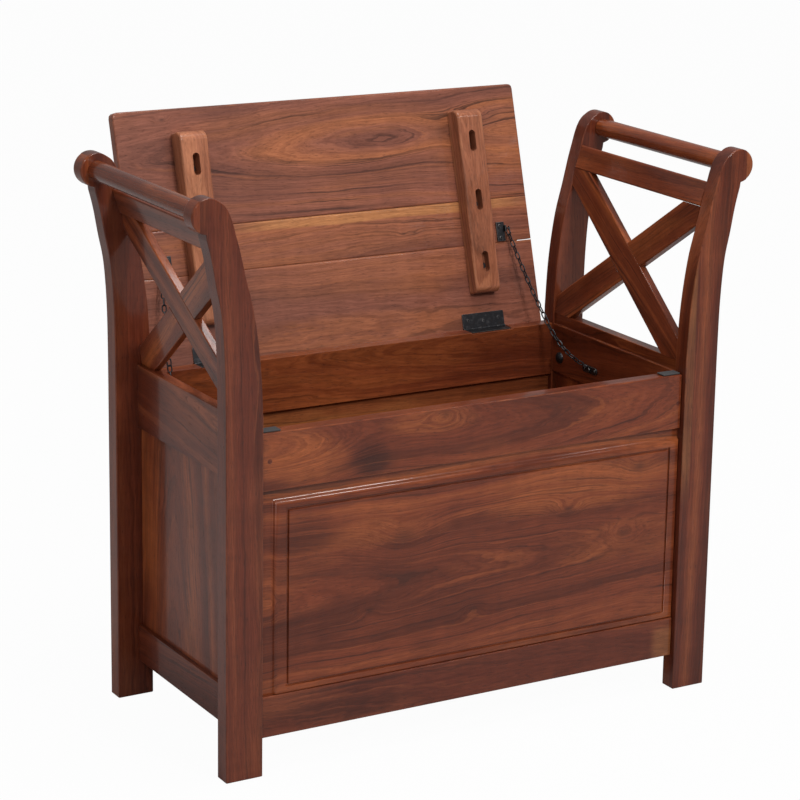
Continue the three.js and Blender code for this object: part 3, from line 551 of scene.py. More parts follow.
for end_name, end in ends.items():
    for side_name, side in sides.items():
        node = f"{end_name}_{side_name}_leg"
        low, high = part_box(node)
        seed = 3.7 * side + 1.9 * end + 11
        leg = board_from(leg_points, side, low.y, high.y)
        arrises = [e for e in sharp(leg) if min(abs(v.co.x) for v in e.verts) <= head_cut - 0.1 * mm]
        ease_edges(leg, arrises, leg_round, 4)
        is_seen_best = node == "front_right_leg"
        centre = Vector((side * (leg_inner + leg_width / 2), middle(node).y, 0.30))
        wooden(f"leg.{end_name}_{side_name}", leg, node, "leg_wood", "z", "leg", centre,
               pith=(0.03 * end, 0.045 * side), tilt=0.015 * side, rings=55, seed=seed, stain=0.45,
               veins=0.35, bands=leg_sapwood if is_seen_best else ())
        scroll = board_from(block_points, side, low.y, high.y)
        arrises = [e for e in sharp(scroll) if max(abs(v.co.x) for v in e.verts) >= head_cut + 0.3 * mm]
        ease_edges(scroll, arrises, leg_round, 4)
        wooden(f"scroll_block.{end_name}_{side_name}", scroll, f"{end_name}_{side_name}_scroll_block",
               "honey_wood", "z", "honey" if is_seen_best else "heart", rings=60, seed=seed + 1, veins=0.3)
print("legs and scroll blocks made")

# %% [markdown]
# ## Handrails
#
# The round handrails were turned on a lathe: a plain bar with a shoulder at each end, whose thin
# ends sit in the heads. A profile spun about the bar's line gives the same shape.

# %% Handrails
rail_end_length = 12.25 * mm
rail_end_radius = 8 * mm
rail_rim = 0.8 * mm
for side_name, side in sides.items():
    node = f"{side_name}_handrail"
    low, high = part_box(node)
    centre = (low + high) / 2
    reach, radius = (high.y - low.y) / 2, (high.z - low.z) / 2
    shoulder = reach - rail_end_length
    half = [(0, reach), (rail_end_radius, reach), (rail_end_radius, shoulder), (radius - rail_rim, shoulder),
            (radius, shoulder - rail_rim), (radius, shoulder / 3)]
    rail = blank()
    profile = [(r, -y) for r, y in half] + half[::-1]
    line = [rail.verts.new(centre + Vector((r, y, 0))) for r, y in profile]
    edges = [rail.edges.new(pair) for pair in zip(line, line[1:])]
    bmesh.ops.spin(rail, geom=line + edges, cent=centre, axis=(0, 1, 0), angle=2 * math.pi, steps=40,
                   use_merge=True)
    bmesh.ops.remove_doubles(rail, verts=rail.verts, dist=0.001 * mm)
    wooden(f"handrail.{side_name}", rail, node, "honey_wood", "y", "heart", pith=(0.012, -0.02),
           tilt=0.03, rings=90, seed=5 + side, stain=0.9, gloss=0.24)
print("handrails made")

# %% [markdown]
# ## Rails and braces of the arms
#
# The upper rail leans outward with the curve of the arm. Below it two flat braces cross, each cut
# halfway through so that they lie flush. Their solids hold those joints already, so only the long
# arrises are eased on a copy of each. A brace leans a little less than the diagonal of its box.

# %% Upper rails and braces
lengthways, sideways = Vector((1, 0, 0)), Vector((0, 1, 0))
lean_share = 0.955


def runs_along(edge, direction, least=0.995):
    line = edge.verts[1].co - edge.verts[0].co
    return abs(line.normalized().dot(direction)) > least


for side_name, side in sides.items():
    node = f"{side_name}_upper_rail"
    rail = solid_of(node)
    ease_edges(rail, [e for e in sharp(rail) if runs_along(e, sideways)], 2.2 * mm)
    wooden(f"upper_rail.{side_name}", rail, node, "hardwood", "y", "heart", pith=(0.01, -0.03),
           tilt=0.03, rings=80, seed=21 + side)
    for way, tilt in {"falling": 1, "rising": -1}.items():
        node = f"{side_name}_{way}_brace"
        brace = solid_of(node)
        low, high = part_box(node)
        slope = math.atan2(high.z - low.z, high.y - low.y) * lean_share
        direction = Vector((0, math.cos(slope), tilt * math.sin(slope)))
        long_edges = [e for e in sharp(brace)
                      if runs_along(e, direction, 0.97) and e.calc_length() > 25 * mm]
        ease_edges(brace, long_edges, 1.5 * mm)
        wooden(f"brace.{side_name}_{way}", brace, node, "hardwood", "y", "heart", pith=(0.02, -0.03),
               tilt=0.04, rings=80, seed=31 + side + 2 * tilt, turned=(-tilt * slope, 0, -quarter))
print("arms made")

# %% [markdown]
# ## Side boards
#
# A seat rail with a step for the lid, a plain panel and a bottom rail close each side. The rails
# are eased where a hand or foot meets them.

# %% Side boards
shoulder_y = (side_low.y, side_high.y)
step_height = 372 * mm
for side_name, side in sides.items():
    node = f"{side_name}_seat_rail"
    rail = solid_of(node)
    ease_edges(rail, [e for e in sharp(rail) if runs_along(e, sideways) and e.calc_length() > 200 * mm
                      and e.verts[0].co.z > step_height], 1.0 * mm)
    wooden(f"seat_rail.{side_name}", rail, node, "hardwood", "y", "leg" if side < 0 else "heart",
           pith=(0.0, 0.03), tilt=0.12 * side, rings=75, seed=41 + 3 * side, stain=0.6)
    for part, tone in {"panel": "heart", "bottom_rail": "leg"}.items():
        node = f"{side_name}_{part}"
        low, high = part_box(node)
        low.y, high.y = shoulder_y
        wooden(f"{part}.{side_name}", box(low, high, 1.4 * mm), node, "hardwood",
               "z" if part == "panel" else "y", tone, pith=(0.05, -0.08), tilt=0.05, rings=80,
               seed=47 + side + len(part), stain=0.6)
print("side boards made")

# %% [markdown]
# ## Front and back boards
#
# The aprons and bottom rails are plain boards between the legs. The front apron has the boldest
# figure of the bench: a knot near the middle of its top edge and a dark flame to the left.

# %% Aprons and rails
apron_looks = {
    "front_apron": dict(pith=(0.02, -0.035), tilt=0.10, rings=80, seed=2.3, stain=0.6, veins=0.5,
                        knots=[(-0.051, 0.028, 0.008, -0.010), (-0.150, -0.022, 0.030, 0.016),
                               (-0.090, 0.014, 0.0022, 0.0)],
                        patches=[(-0.248, 0.002, 0.07, 0.035, "warm", 0.9),
                                 (-0.155, -0.010, 0.03, 0.03, "deep", 0.9),
                                 (-0.07, 0.022, 0.08, 0.018, "warm", 0.6)]),
    "back_apron": dict(pith=(0.02, 0.05), tilt=0.06, rings=60, seed=9.1, stain=0.7, veins=0.4,
                       patches=[(-0.05, 0.01, 0.25, 0.04, "warm", 0.5)]),
    "front_bottom_rail": dict(pith=(-0.02, -0.06), tilt=0.03, rings=60, seed=13.7, stain=0.6, veins=0.4,
                              bands=[({"along": (0.266, 0.35), "across": (-0.06, 0.022)}, 0.25)],
                              patches=[(-0.2, 0.0, 0.12, 0.03, "deep", 0.7)]),
    "back_bottom_rail": dict(pith=(0.02, 0.06), tilt=0.03, rings=60, seed=17.2, stain=0.6, veins=0.4),
}
for node, looks in apron_looks.items():
    low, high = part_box(node)
    low.x, high.x = -half_opening, half_opening
    if node == "back_apron":
        board = solid_of(node)
        top = [e for e in sharp(board) if runs_along(e, lengthways) and e.verts[0].co.z > high.z - 10 * mm]
        ease_edges(board, top, 0.8 * mm)
    else:
        board = box(low, high, 1.5 * mm)
    tone = "leg" if "bottom" in node else "heart"
    wooden(node.replace("_", ".", 1), board, node, "hardwood", "x", tone, turned=(-quarter, 0, 0), **looks)

# Round plugs cover the pins of the tenons
plug_places = {"left": (-292, 395), "right": (299, 392)}
apron_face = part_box("front_apron")[0].y
for side_name, (x, z) in plug_places.items():
    plug = disc(3.2 * mm, 1 * mm, 0.3 * mm)
    spot = Matrix.Translation((x * mm, apron_face + 0.3 * mm, z * mm))
    plug.transform(spot @ Matrix.Rotation(quarter, 4, "X"))
    finish = wood(f"wood_plug_{x}", "y", (x * mm, apron_face, z * mm), "leg", seed=x)
    piece(f"tenon_plug.{side_name}", plug, finish, "frame", ())
print("aprons, bottom rails and plugs made")

# %% [markdown]
# ## Raised panels
#
# The panel sits in grooves, a little behind the boards round it. Its edge was moulded with a
# cutter: a flat margin, a swelling slope, a broad band, a sharp groove and a step up to the field.
# The profile is a list of steps, each two insets and a height, drawn up from one rectangle. The
# panel is glued up from two planks, and the finish changes at their joint. It sits a little to the
# right and low in its opening, so two sides of the moulding are partly covered.

# %% Raised panels
def rectangle_steps(mesh, face, low, high, end, steps):
    """Extrudes a face through rectangles, each given by its left, right, bottom and top margins."""
    for (left, right, bottom, top), height in steps:
        made = bmesh.ops.extrude_discrete_faces(mesh, faces=[face])
        face = made["faces"][0]
        spans = {0: (low.x + left, high.x - right), 2: (low.z + bottom, high.z - top)}
        centre = face.calc_center_median()
        for vert in face.verts:
            for axis, (start, stop) in spans.items():
                vert.co[axis] = start if vert.co[axis] < centre[axis] else stop
            vert.co.y = end * height


# The moulding's foot lies at these margins, and is cut off by the leg and by the bottom rail
foot = (15.8, -5.1, -5.5, 9.9)
margin_depth = 5 * mm
panel_thickness = 8 * mm
panel_middle_z = 228.5 * mm
plank_joint = 41.5 * mm
moulding = [(0, 0, -1.2), (1.0, 1.2, -1.1), (2.4, 2.8, -0.4), (3.8, 4.4, 1.1), (5.0, 5.8, 2.7),
            (6.2, 7.2, 3.6), (8.0, 9.2, 4.1), (13.0, 11.6, 4.5), (18.5, 13.8, 4.7), (19.1, 14.3, 4.3),
            (19.4, 14.6, 2.2), (22.0, 17.2, 2.2), (22.3, 17.5, 4.4), (22.9, 18.1, 5.0)]
moulding_steps = [((0.3, 0.3, 0.3, 0.3), 0.0), ((0.35, 0.35, 0.35, 0.35), -1.2)]
for number, (at_side, at_end, height) in enumerate(moulding):
    reach = (at_side, at_side, at_end, at_end)
    least = 0.4 + 0.01 * number
    moulding_steps.append(([max(margin + step, least) for margin, step in zip(foot, reach)], height))
board_face = {name: abs(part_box(f"{name}_apron")[0 if end < 0 else 1].y) for name, end in ends.items()}
panel_knots = [(0.134, 0.045, 0.007, 0.012), (0.242, 0.087, 0.010, 0.010), (0.2215, 0.0, 0.009, 0.012),
               (-0.107, 0.045, 0.016, 0.02), (-0.004, -0.066, 0.006, 0.008), (-0.154, -0.043, 0.006, 0.008)]
panel_patches = [(0.16, 0.075, 0.17, 0.036, "warm", 0.75), (-0.24, 0.07, 0.06, 0.03, "deep", 0.7),
                 (-0.12, 0.07, 0.07, 0.03, "warm", 0.35), (0.0, -0.02, 0.32, 0.03, "deep", 0.25)]
for end_name, end in ends.items():
    node = f"{end_name}_panel"
    low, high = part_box(node)
    face_y = board_face[end_name]
    margin_y = face_y - margin_depth
    opening_low = Vector((-half_opening, 0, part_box(f"{end_name}_bottom_rail")[1].z))
    opening_high = Vector((half_opening, 0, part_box(f"{end_name}_apron")[0].z))
    low.y, high.y = sorted((end * (margin_y - panel_thickness), end * margin_y))
    panel = block(low, high)
    face = max(panel.faces, key=lambda f: end * f.calc_center_median().y)
    steps = [([m * mm for m in margins], margin_y + height * mm) for margins, height in moulding_steps]
    rectangle_steps(panel, face, opening_low, opening_high, end, steps)
    looks = dict(seed=1.1, knots=panel_knots, patches=panel_patches) if end < 0 else dict(seed=6.1)
    wooden(f"panel.{end_name}", panel, node, "hardwood", "x", "heart" if end < 0 else "honey",
           (0, end * face_y, panel_middle_z), pith=(-0.01, -0.05), tilt=0.05, rings=70, stain=0.6,
           turned=(-quarter, 0, 0), joint=plank_joint, **looks)
print("raised panels made with", len(moulding_steps), "steps each")

# %% [markdown]
# ## Floor of the box
#
# A plain board lies on two cleats inside the box. In the photograph the front apron hides it.

# %% Floor and cleats
for node in ("floor_board", "front_floor_cleat", "back_floor_cleat"):
    wooden(node.replace("_", "."), box(*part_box(node), 0.8 * mm), node, "hardwood", "x", "pale",
           seed=len(node), pith=(0.0, -0.05), veins=0.4)
print("floor made")

# %% [markdown]
# ## Lid
#
# Three planks are glued edge to edge and held flat by two battens. The lid lies in its own turned
# frame: along the bench, back from its rear edge and through its thickness. The outer arris is
# well rounded. The planks touch along their joints, and one joint has opened at its right end.

# %% Lid planks
pin_low, pin_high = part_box("left_hinge_pin")
pivot = (pin_low + pin_high) / 2
pivot.x = 0
open_turn = math.radians(106.5)
lid_frame = Matrix.Translation(pivot) @ Matrix.Rotation(-open_turn, 4, "X")
to_lid = lid_frame.inverted()
lid_rear = -2.25 * mm
lid_back = lid_rear + 9.25 * mm
lid_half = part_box("lid_rear_plank")[1].x
lid_depth = 329.5 * mm
lid_under = 1.375 * mm
lid_looks = {
    "lid_rear_plank": dict(pith=(0.03, -0.05), tilt=0.02, rings=55, seed=3.3, stain=0.5, veins=0.45,
                           patches=[(-0.02, 0.04, 0.22, 0.022, "warm", 0.6),
                                    (0.05, -0.03, 0.2, 0.03, "warm", 0.35)]),
    "lid_middle_plank": dict(pith=(0.06, -0.03), tilt=0.02, rings=65, seed=8.4, stain=0.4, veins=0.5,
                             bands=[({"across": (-0.036, -0.0155), "along": (-0.18, 0.33)}, 0.7)],
                             patches=[(-0.05, 0.0, 0.3, 0.035, "warm", 0.45)],
                             knots=[(0.10, 0.005, 0.004, 0.004), (0.118, 0.005, 0.003, 0.003)]),
    "lid_front_plank": dict(pith=(-0.02, -0.035), tilt=-0.10, rings=70, seed=12.9, stain=0.55, veins=0.75,
                            knots=[(0.185, -0.02, 0.022, 0.018), (-0.2335, -0.064, 0.004, 0.005)],
                            patches=[(0.0, -0.045, 0.2, 0.022, "warm", 0.4),
                                     (0.09, 0.035, 0.12, 0.03, "deep", 0.5),
                                     (-0.14, 0.03, 0.1, 0.035, "deep", 0.5)]),
}
seams = (111.5 * mm, 173 * mm)
plank_spans = dict(zip(lid_looks, ((0, seams[0]), seams, (seams[1], lid_depth))))
corner_radius = 8 * mm


def on_rim(edge):
    """Whether an edge lies on the lid's outer arris, above or below."""
    spots = [to_lid @ v.co for v in edge.verts]
    at_side = all(abs(abs(s.x) - lid_half) < 0.3 * mm for s in spots)
    at_rear = all(abs(s.y - lid_back) < 0.3 * mm for s in spots)
    at_front = all(abs(s.y - lid_rear + lid_depth) < 0.6 * mm for s in spots)
    flat = abs(spots[0].z - spots[1].z) < 0.1 * mm
    in_corner = all(abs(s.x) > lid_half - corner_radius for s in spots)
    return flat and (at_side or at_rear or at_front or (in_corner and edge.calc_length() < corner_radius))


for node, looks in lid_looks.items():
    plank = solid_of(node)
    ease_edges(plank, [e for e in sharp(plank) if on_rim(e)], 2.6 * mm, 4)
    near, far = plank_spans[node]
    for vert in plank.verts:
        spot = to_lid @ vert.co
        for seam in seams:
            if abs(spot.y - lid_rear + seam) < 1.0 * mm:
                vert.co = lid_frame @ Vector((spot.x, lid_rear - seam, spot.z))
    if node == "lid_middle_plank":
        crack_y = lid_rear - near
        crack_low = Vector((278 * mm, crack_y - 1.3 * mm, 0))
        crack = box(crack_low, Vector((310 * mm, crack_y + 0.3 * mm, 30 * mm)), 0.2 * mm)
        crack.transform(lid_frame)
        plank = cut_away(plank, crack)
    centre = lid_frame @ Vector((0, lid_rear - (near + far) / 2, lid_under + 7.5 * mm))
    wooden(node.replace("_", "."), plank, node, "lid_wood", "x", "rosy", centre, "lid",
           turned=(open_turn, 0, 0), gloss=0.42, **looks)
print("lid planks made")

# %% [markdown]
# ## Battens with slots
#
# Wide planks swell and shrink, so the screws sit in slots that let them move. Each batten is
# thicker at its far end. Its side view is drawn out to the width. Three round-ended slots are cut
# with a boolean, wide for the heads and narrow for the shanks, because no bmesh operator cuts one
# solid from another.

# %% Battens
batten_start, batten_length, batten_width = 45 * mm, 252 * mm, 39.5 * mm
batten_face = lid_under - 0.25 * mm
rear, front = lid_rear - batten_start, lid_rear - batten_start - batten_length
rear_low, front_low = batten_face - 18 * mm, batten_face - 26 * mm
slot_places = [rear - share * batten_length for share in (0.167, 0.504, 0.825)]


def slot_cutters(x, width, length, low, high):
    """Three round-ended bars through a batten at x."""
    cutters = blank()
    for y in slot_places:
        bar = blank()
        ring = bmesh.ops.create_circle(bar, cap_ends=True, radius=width / 2, segments=24)["verts"]
        for vert in ring:
            vert.co.y += math.copysign((length - width) / 2, vert.co.y)
        draw_out(bar, (0, 0, high - low))
        bmesh.ops.translate(bar, vec=(x, y, low), verts=bar.verts)
        add_into(cutters, bar)
    return cutters


def rounded(y, z, radius, way, steps):
    """A quarter round at the low edge of a batten's side view, from its end to its lower face."""
    turns = (quarter * i / steps for i in range(steps + 1))
    return [(y + way * radius * (1 - math.sin(a)), z + radius * (1 - math.cos(a))) for a in turns]


side_view = [(rear, batten_face), (front, batten_face)]
side_view += rounded(front, front_low, 13 * mm, 1, 8)[::-1] + rounded(rear, rear_low, 9 * mm, -1, 6)
for side_name in sides:
    node = f"{side_name}_lid_batten"
    centre_x = middle(node).x
    bar = blank()
    bar.faces.new([bar.verts.new((centre_x - batten_width / 2, y, z)) for y, z in side_view])
    draw_out(bar, (batten_width, 0, 0))
    low_edges = [e for e in sharp(bar) if any(v.co.z < batten_face - 1 * mm for v in e.verts)]
    ease_edges(bar, low_edges, 3.2 * mm, 4)
    bar = cut_away(bar, slot_cutters(centre_x, 10 * mm, 29 * mm, front_low - 2 * mm, batten_face - 8 * mm))
    bar = cut_away(bar, slot_cutters(centre_x, 5 * mm, 24 * mm, batten_face - 9 * mm, batten_face + 2 * mm))
    bar.transform(lid_frame)
    centre = lid_frame @ Vector((centre_x, (rear + front) / 2, batten_face - 11 * mm))
    wooden(f"batten.{side_name}", bar, node, "honey_wood", "y", "pale", centre, "lid",
           pith=(0.008, -0.03), tilt=0.03, rings=60, seed=61 + len(side_name),
           turned=(open_turn, 0, -quarter), stain=0.6, veins=0.35, gloss=0.28)
print("battens made")

# %% [markdown]
# ## Screws
#
# Every screw has a low domed head with a crossed recess. One template is made and set down
# wherever a screw sits, with its head along the given direction.

# %% Screw template
def screw_head(radius, height):
    """A domed head with a cross cut into it, standing on the origin and pointing up +Z."""
    mesh = blank()
    bmesh.ops.create_cone(mesh, cap_ends=True, segments=20, radius1=radius, radius2=radius, depth=height)
    bmesh.ops.translate(mesh, vec=(0, 0, height / 2), verts=mesh.verts)
    rim = [e for e in sharp(mesh) if all(v.co.z > height * 0.9 for v in e.verts)]
    ease_edges(mesh, rim, height * 0.7, 3)
    long_reach, short_reach = radius * 0.55, radius * 0.13
    for x, y in ((long_reach, short_reach), (short_reach, long_reach)):
        mesh = cut_away(mesh, block(Vector((-x, -y, height * 0.4)), Vector((x, y, height * 1.4))))
    return mesh


def set_down(mesh, template, place, direction, spin=0.0):
    """Adds a copy of a template mesh at a place, with its +Z along a direction."""
    copy = blank()
    copy.from_mesh(template)
    aim = Vector((0, 0, 1)).rotation_difference(Vector(direction)).to_matrix().to_4x4()
    copy.transform(Matrix.Translation(place) @ aim @ Matrix.Rotation(spin, 4, "Z"))
    add_into(mesh, copy)


large_screw = mesh_data("large screw", screw_head(4.0 * mm, 2.4 * mm))
small_screw = mesh_data("small screw", screw_head(2.3 * mm, 1.0 * mm))
print("screw heads of", len(large_screw.polygons), "and", len(small_screw.polygons), "faces")

# %% Batten screws
away_from_lid = (lid_frame.to_3x3() @ Vector((0, 0, -1))).normalized()
for side_name in sides:
    for index, slot_y in enumerate(slot_places, 1):
        node = f"{side_name}_batten_screw_{index}"
        screw = solid_of(node)
        seat = lid_frame @ Vector((middle(node).x, slot_y + 5 * mm, batten_face - 8.25 * mm))
        set_down(screw, large_screw, seat, away_from_lid, index * 0.7)
        piece(f"screw.{side_name}_{index}", screw, black_steel, "lid", [node])
print("batten screws made")

# %% [markdown]
# ## Hinges
#
# A butt hinge is two leaves that wrap round one pin in turn. The leaves have rounded corners and
# three screws each. The knuckles are short turned rings in line.

# %% Hinges
hinge_width = 66 * mm
leaf_gap, leaf_thickness = 0.125 * mm, 1 * mm
knuckles, knuckle_gap, knuckle_radius = 5, 0.25 * mm, 2 * mm
knuckle_length = (hinge_width - (knuckles - 1) * knuckle_gap) / knuckles
screw_sunk = 0.9 * mm


def leaf(depth, up, first_knuckle):
    """A leaf of a hinge about its pin, on the side that up says, with every second knuckle."""
    near = -2.25 * mm
    low_z, high_z = sorted((up * leaf_gap, up * (leaf_gap + leaf_thickness)))
    plate = block(Vector((-hinge_width / 2, near - depth, low_z)), Vector((hinge_width / 2, near, high_z)))
    corners = [e for e in plate.edges if abs(e.verts[0].co.z - e.verts[1].co.z) > leaf_thickness / 2
               and e.verts[0].co.y < near - depth / 2]
    bmesh.ops.bevel(plate, geom=corners, offset=1.6 * mm, segments=4, profile=0.5, affect="EDGES",
                    material=-1)
    ease_edges(plate, [e for e in sharp(plate) if e.verts[0].co.y < near - 0.2 * mm], 0.25 * mm, 2)
    for index in range(first_knuckle, knuckles, 2):
        start = index * (knuckle_length + knuckle_gap) - hinge_width / 2
        ring = disc(knuckle_radius, knuckle_length, 0.3 * mm)
        middle_spot = Matrix.Translation((start + knuckle_length / 2, 0, 0))
        ring.transform(middle_spot @ Matrix.Rotation(quarter, 4, "Y"))
        add_into(plate, ring)
        tab_low = Vector((start, near - 0.5 * mm, low_z))
        add_into(plate, box(tab_low, Vector((start + knuckle_length, -1.2 * mm, high_z)), 0.2 * mm))
    seat = low_z + screw_sunk if up > 0 else high_z - screw_sunk
    for offset in (-24 * mm, 0, 24 * mm):
        place = Vector((offset, near - depth * (0.52 if offset else 0.38), seat))
        set_down(plate, small_screw, place, (0, 0, -up), offset * 90)
    return plate


hinge_leaves = {
    "lid": ("hinge_lid_leaf", 19 * mm, 1, 1, lid_frame),
    "frame": ("hinge_frame_leaf", 15 * mm, -1, 0, Matrix.Translation(pivot)),
}
for side_name in sides:
    pin = f"{side_name}_hinge_pin"
    along_pin = Matrix.Translation((middle(pin).x, 0, 0))
    for body, (part, depth, up, first_knuckle, held_in) in hinge_leaves.items():
        made = leaf(depth, up, first_knuckle)
        made.transform(held_in @ along_pin)
        fitting(part, side_name, made, body)
    nodes[pin].data.materials.clear()
    nodes[pin].data.materials.append(black_steel)
print("hinges made")

# %% [markdown]
# ## Chain plates, bolts and pads
#
# Each stay chain hangs from a small bent plate under the lid and ends at a plate inside the seat
# rail. A round bolt head sits behind it, and a dark pad lies on each end of the front apron.

# %% Chain plates
plate_rear, plate_front = lid_rear - 113 * mm, lid_rear - 139.5 * mm
stud_y = lid_rear - 130 * mm
stud_z = lid_under - 5 * mm
plate_top = lid_under - 0.25 * mm
plate_edge = lid_half - 43 * mm
plate_width = 12.5 * mm
plate_thickness = 2 * mm


def span(side, inner, outer, y_span, z_span, rounding):
    """A small box between two distances from the bench's middle, on one side of it."""
    x_span = sorted((side * inner, side * outer))
    low, high = (Vector(corner) for corner in zip(x_span, y_span, z_span))
    return box(low, high, rounding, segments=2)


def bracket_under_lid(side):
    """A plate with a bent ear, which holds the chain's first link on a stud."""
    bracket = span(side, plate_edge - plate_width, plate_edge, (plate_front, plate_rear),
                   (plate_top - plate_thickness, plate_top), 0.4 * mm)
    add_into(bracket, span(side, plate_edge - plate_thickness, plate_edge,
                           (stud_y - 4.5 * mm, stud_y + 4.5 * mm),
                           (plate_top - 8 * mm, plate_top - 1 * mm), 0.4 * mm))
    stud = blank()
    bmesh.ops.create_cone(stud, cap_ends=True, segments=16, radius1=0.9 * mm, radius2=0.9 * mm, depth=6 * mm)
    head = disc(2.6 * mm, 1 * mm, 0.3 * mm)
    bmesh.ops.translate(head, vec=(0, 0, side * 2.5 * mm), verts=head.verts)
    add_into(stud, head)
    stud_spot = Matrix.Translation((side * (plate_edge + 3 * mm), stud_y, stud_z))
    stud.transform(stud_spot @ Matrix.Rotation(quarter, 4, "Y"))
    add_into(bracket, stud)
    for along in (118 * mm, 134.5 * mm):
        place = Vector((side * (plate_edge - 7.4 * mm), lid_rear - along, plate_top - plate_thickness))
        set_down(bracket, small_screw, place, (0, 0, -1), along * 40)
    bracket.transform(lid_frame)
    return bracket


def plate_on_rail():
    """A round-ended plate on its back, with an eye for the chain's last link."""
    plate = blank()
    ring = bmesh.ops.create_circle(plate, cap_ends=True, radius=5 * mm, segments=28)["verts"]
    for vert in ring:
        vert.co.x += math.copysign(12 * mm, vert.co.x)
    draw_out(plate, (0, 0, plate_thickness))
    ease_edges(plate, sharp(plate), 0.4 * mm, 2)
    eye = disc(3.2 * mm, 2.5 * mm, 0.7 * mm, 3, 24)
    bmesh.ops.translate(eye, vec=(0, 0, 3.25 * mm), verts=eye.verts)
    add_into(plate, eye)
    for along in (-12 * mm, 12 * mm):
        set_down(plate, small_screw, Vector((along, 0, plate_thickness)), (0, 0, 1), along * 70)
    return plate


def bolt_head(radius):
    bolt = blank()
    bmesh.ops.create_uvsphere(bolt, u_segments=28, v_segments=14, radius=radius)
    whole = list(bolt.verts) + list(bolt.edges) + list(bolt.faces)
    bmesh.ops.bisect_plane(bolt, geom=whole, plane_co=(0, 0, 0), plane_no=(0, 0, 1), clear_inner=True)
    bmesh.ops.holes_fill(bolt, edges=[e for e in bolt.edges if e.is_boundary], sides=0)
    bmesh.ops.scale(bolt, vec=(1, 1, 0.62), verts=bolt.verts)
    return bolt


# %% Plates, bolts and pads in place
for side_name, side in sides.items():
    fitting("lid_chain_plate", side_name, bracket_under_lid(side), "lid")
    rail_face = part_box(f"{side_name}_seat_rail")[0 if side > 0 else 1].x - side * 0.25 * mm
    into_box = Matrix.Rotation(-side * quarter, 4, "Y") @ Matrix.Rotation(quarter, 4, "Z")
    for part, made in {"rail_chain_plate": plate_on_rail(), "rail_bolt": bolt_head(8 * mm)}.items():
        spot = middle(f"{side_name}_{part}")
        made.transform(Matrix.Translation((rail_face, spot.y, spot.z)) @ into_box)
        fitting(part, side_name, made, "frame")
    node = f"{side_name}_lid_pad"
    piece(f"lid_pad.{side_name}", box(*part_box(node), 0.7 * mm), pad_finish, "frame", [node])
print("plates, bolts and pads made")

# %% [markdown]
# ## Stay chains
#
# Each chain is real links: wire ovals, each turned a quarter round its neighbour. A link is a
# circle spun into a ring, then stretched. The links follow the hanging line in two runs, one from
# the lid to the knee and one from the knee to the wall, because those are the two moving bodies.

# %% Chain links
def link_template(wire, width, length):
    mesh = blank()
    ring = bmesh.ops.create_circle(mesh, radius=wire / 2, segments=7)["verts"]
    bmesh.ops.rotate(mesh, cent=(0, 0, 0), matrix=Matrix.Rotation(quarter, 3, "X"), verts=ring)
    bmesh.ops.translate(mesh, vec=((width - wire) / 2, 0, 0), verts=ring)
    bmesh.ops.spin(mesh, geom=list(mesh.verts) + list(mesh.edges), cent=(0, 0, 0), axis=(0, 0, 1),
                   angle=2 * math.pi, steps=16, use_merge=True)
    bmesh.ops.remove_doubles(mesh, verts=mesh.verts, dist=0.001 * mm)
    for vert in mesh.verts:
        if abs(vert.co.y) > 0.01 * mm:
            vert.co.y += math.copysign((length - width) / 2, vert.co.y)
    bmesh.ops.recalc_face_normals(mesh, faces=mesh.faces)
    return mesh


link = mesh_data("link", link_template(1.9 * mm, 7.0 * mm, 11.6 * mm))
link_pitch = 9 * mm
stud_place = lid_frame @ Vector((0, stud_y, stud_z))
knee_place = Vector((0, 79.0991 * mm, 441.8 * mm))
wall_place = Vector((0, -4.9009 * mm, 391 * mm))
fine_steps = 200


def chain(start, stop, sag):
    """Links along a sagging line, each rolled a quarter turn from the one before."""
    chord = stop - start
    down = Vector((0, -chord.z, chord.y)).normalized()
    if down.z > 0:
        down = -down
    low = (start + stop) / 2 + down * 2 * sag
    shares = (i / fine_steps for i in range(fine_steps + 1))
    line = [start.lerp(low, t).lerp(low.lerp(stop, t), t) for t in shares]
    lengths = [0.0]
    for a, b in zip(line, line[1:]):
        lengths.append(lengths[-1] + (b - a).length)
    count = round(lengths[-1] / link_pitch)
    mesh = blank()
    for index in range(count):
        goal = lengths[-1] * (index + 0.5) / count
        k = next(i for i, value in enumerate(lengths) if value >= goal)
        heading = (line[min(k + 1, fine_steps)] - line[k - 1]).normalized()
        roll = math.radians(45 + 90 * (index % 2))
        aim = sideways.rotation_difference(heading).to_matrix().to_4x4()
        ring = blank()
        ring.from_mesh(link)
        ring.transform(Matrix.Translation(line[k]) @ aim @ Matrix.Rotation(roll, 4, "Y"))
        add_into(mesh, ring)
    return mesh


for side_name, side in sides.items():
    stud, knee, wall = (place + lengthways * side * reach for place, reach in (
        (stud_place, 261 * mm), (knee_place, 283.6 * mm), (wall_place, 298.5 * mm)))
    for part, run in {"chain_upper": (stud, knee, 3 * mm), "chain_lower": (knee, wall, 11 * mm)}.items():
        fitting(part, side_name, chain(*run), f"{side_name}_{part}")
print("chains made")

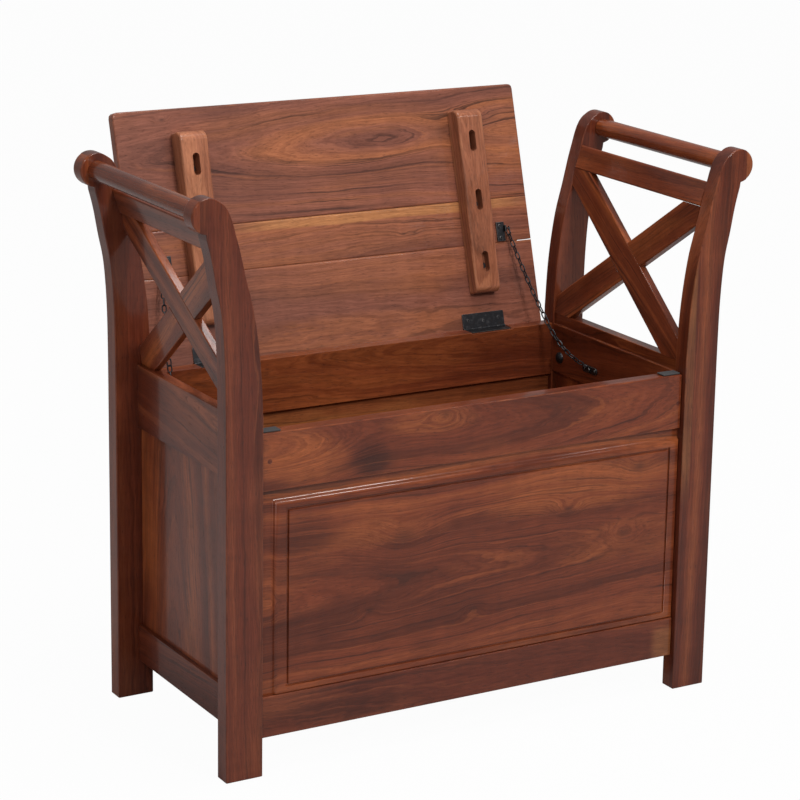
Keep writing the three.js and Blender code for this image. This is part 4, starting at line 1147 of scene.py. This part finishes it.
# %% [markdown]
# ## Floor, world and lamps
#
# The ground is pale and plain, and the camera sees it as white, while the lamps stay at a level at
# which a colour renders about as it is written. The floor still shows the bench's shadow.

# %% Stage and light
ground = blank()
bmesh.ops.create_grid(ground, x_segments=1, y_segments=1, size=12)
floor_finish = Finish("pale_floor")
pale = floor_finish.node("BsdfDiffuse", {}, {"Color": (0.55, 0.55, 0.55, 1)})
white = floor_finish.node("Emission", {}, {"Color": (1, 1, 1, 1), "Strength": 1.0})
seen = floor_finish.node("LightPath", {}, {}, "Is Camera Ray")
floor_finish.surface(floor_finish.node("MixShader", {}, {0: seen * 0.97, 1: pale, 2: white}))
floor = to_object("floor", ground)
floor.data.materials.append(floor_finish.material)

world = bpy.data.worlds.new("studio")
bpy.context.scene.world = world
sky = Finish("studio", world)
camera_ray = sky.node("LightPath", {}, {}, "Is Camera Ray")
glossy_ray = sky.node("LightPath", {}, {}, "Is Glossy Ray")
soft, mirror, bright = (sky.node("Background", {}, {"Color": (1, 1, 1, 1), "Strength": strength})
                        for strength in (0.42, 0.35, 1.0))
shown = sky.node("MixShader", {}, {0: glossy_ray, 1: soft, 2: mirror})
shown = sky.node("MixShader", {}, {0: camera_ray, 1: shown, 2: bright})
sky.node("OutputWorld", {}, {"Surface": shown})


def lamp(name, place, size, power):
    """A round lamp aimed at the middle of the bench."""
    data = bpy.data.lights.new(name, "AREA")
    data.shape = "DISK"
    data.size = size
    data.energy = power
    made = bpy.data.objects.new(name, data)
    made.location = place
    made.rotation_euler = (Vector((0, 0, 0.4)) - Vector(place)).to_track_quat("-Z", "Y").to_euler()
    bpy.context.scene.collection.objects.link(made)


lamp("key", (0.4, -3.2, 2.8), 0.9, 66)
lamp("fill", (-2.2, -2.6, 2.9), 0.6, 20)
lamp("edge", (2.0, -2.3, 3.0), 0.5, 6)
lamp("side", (-3.4, -0.2, 1.6), 1.0, 5)
lamp("top", (0.3, -0.4, 3.2), 1.2, 40)
bpy.context.scene.view_settings.view_transform = "Standard"
print("stage set with", len(bpy.data.lights), "lamps")
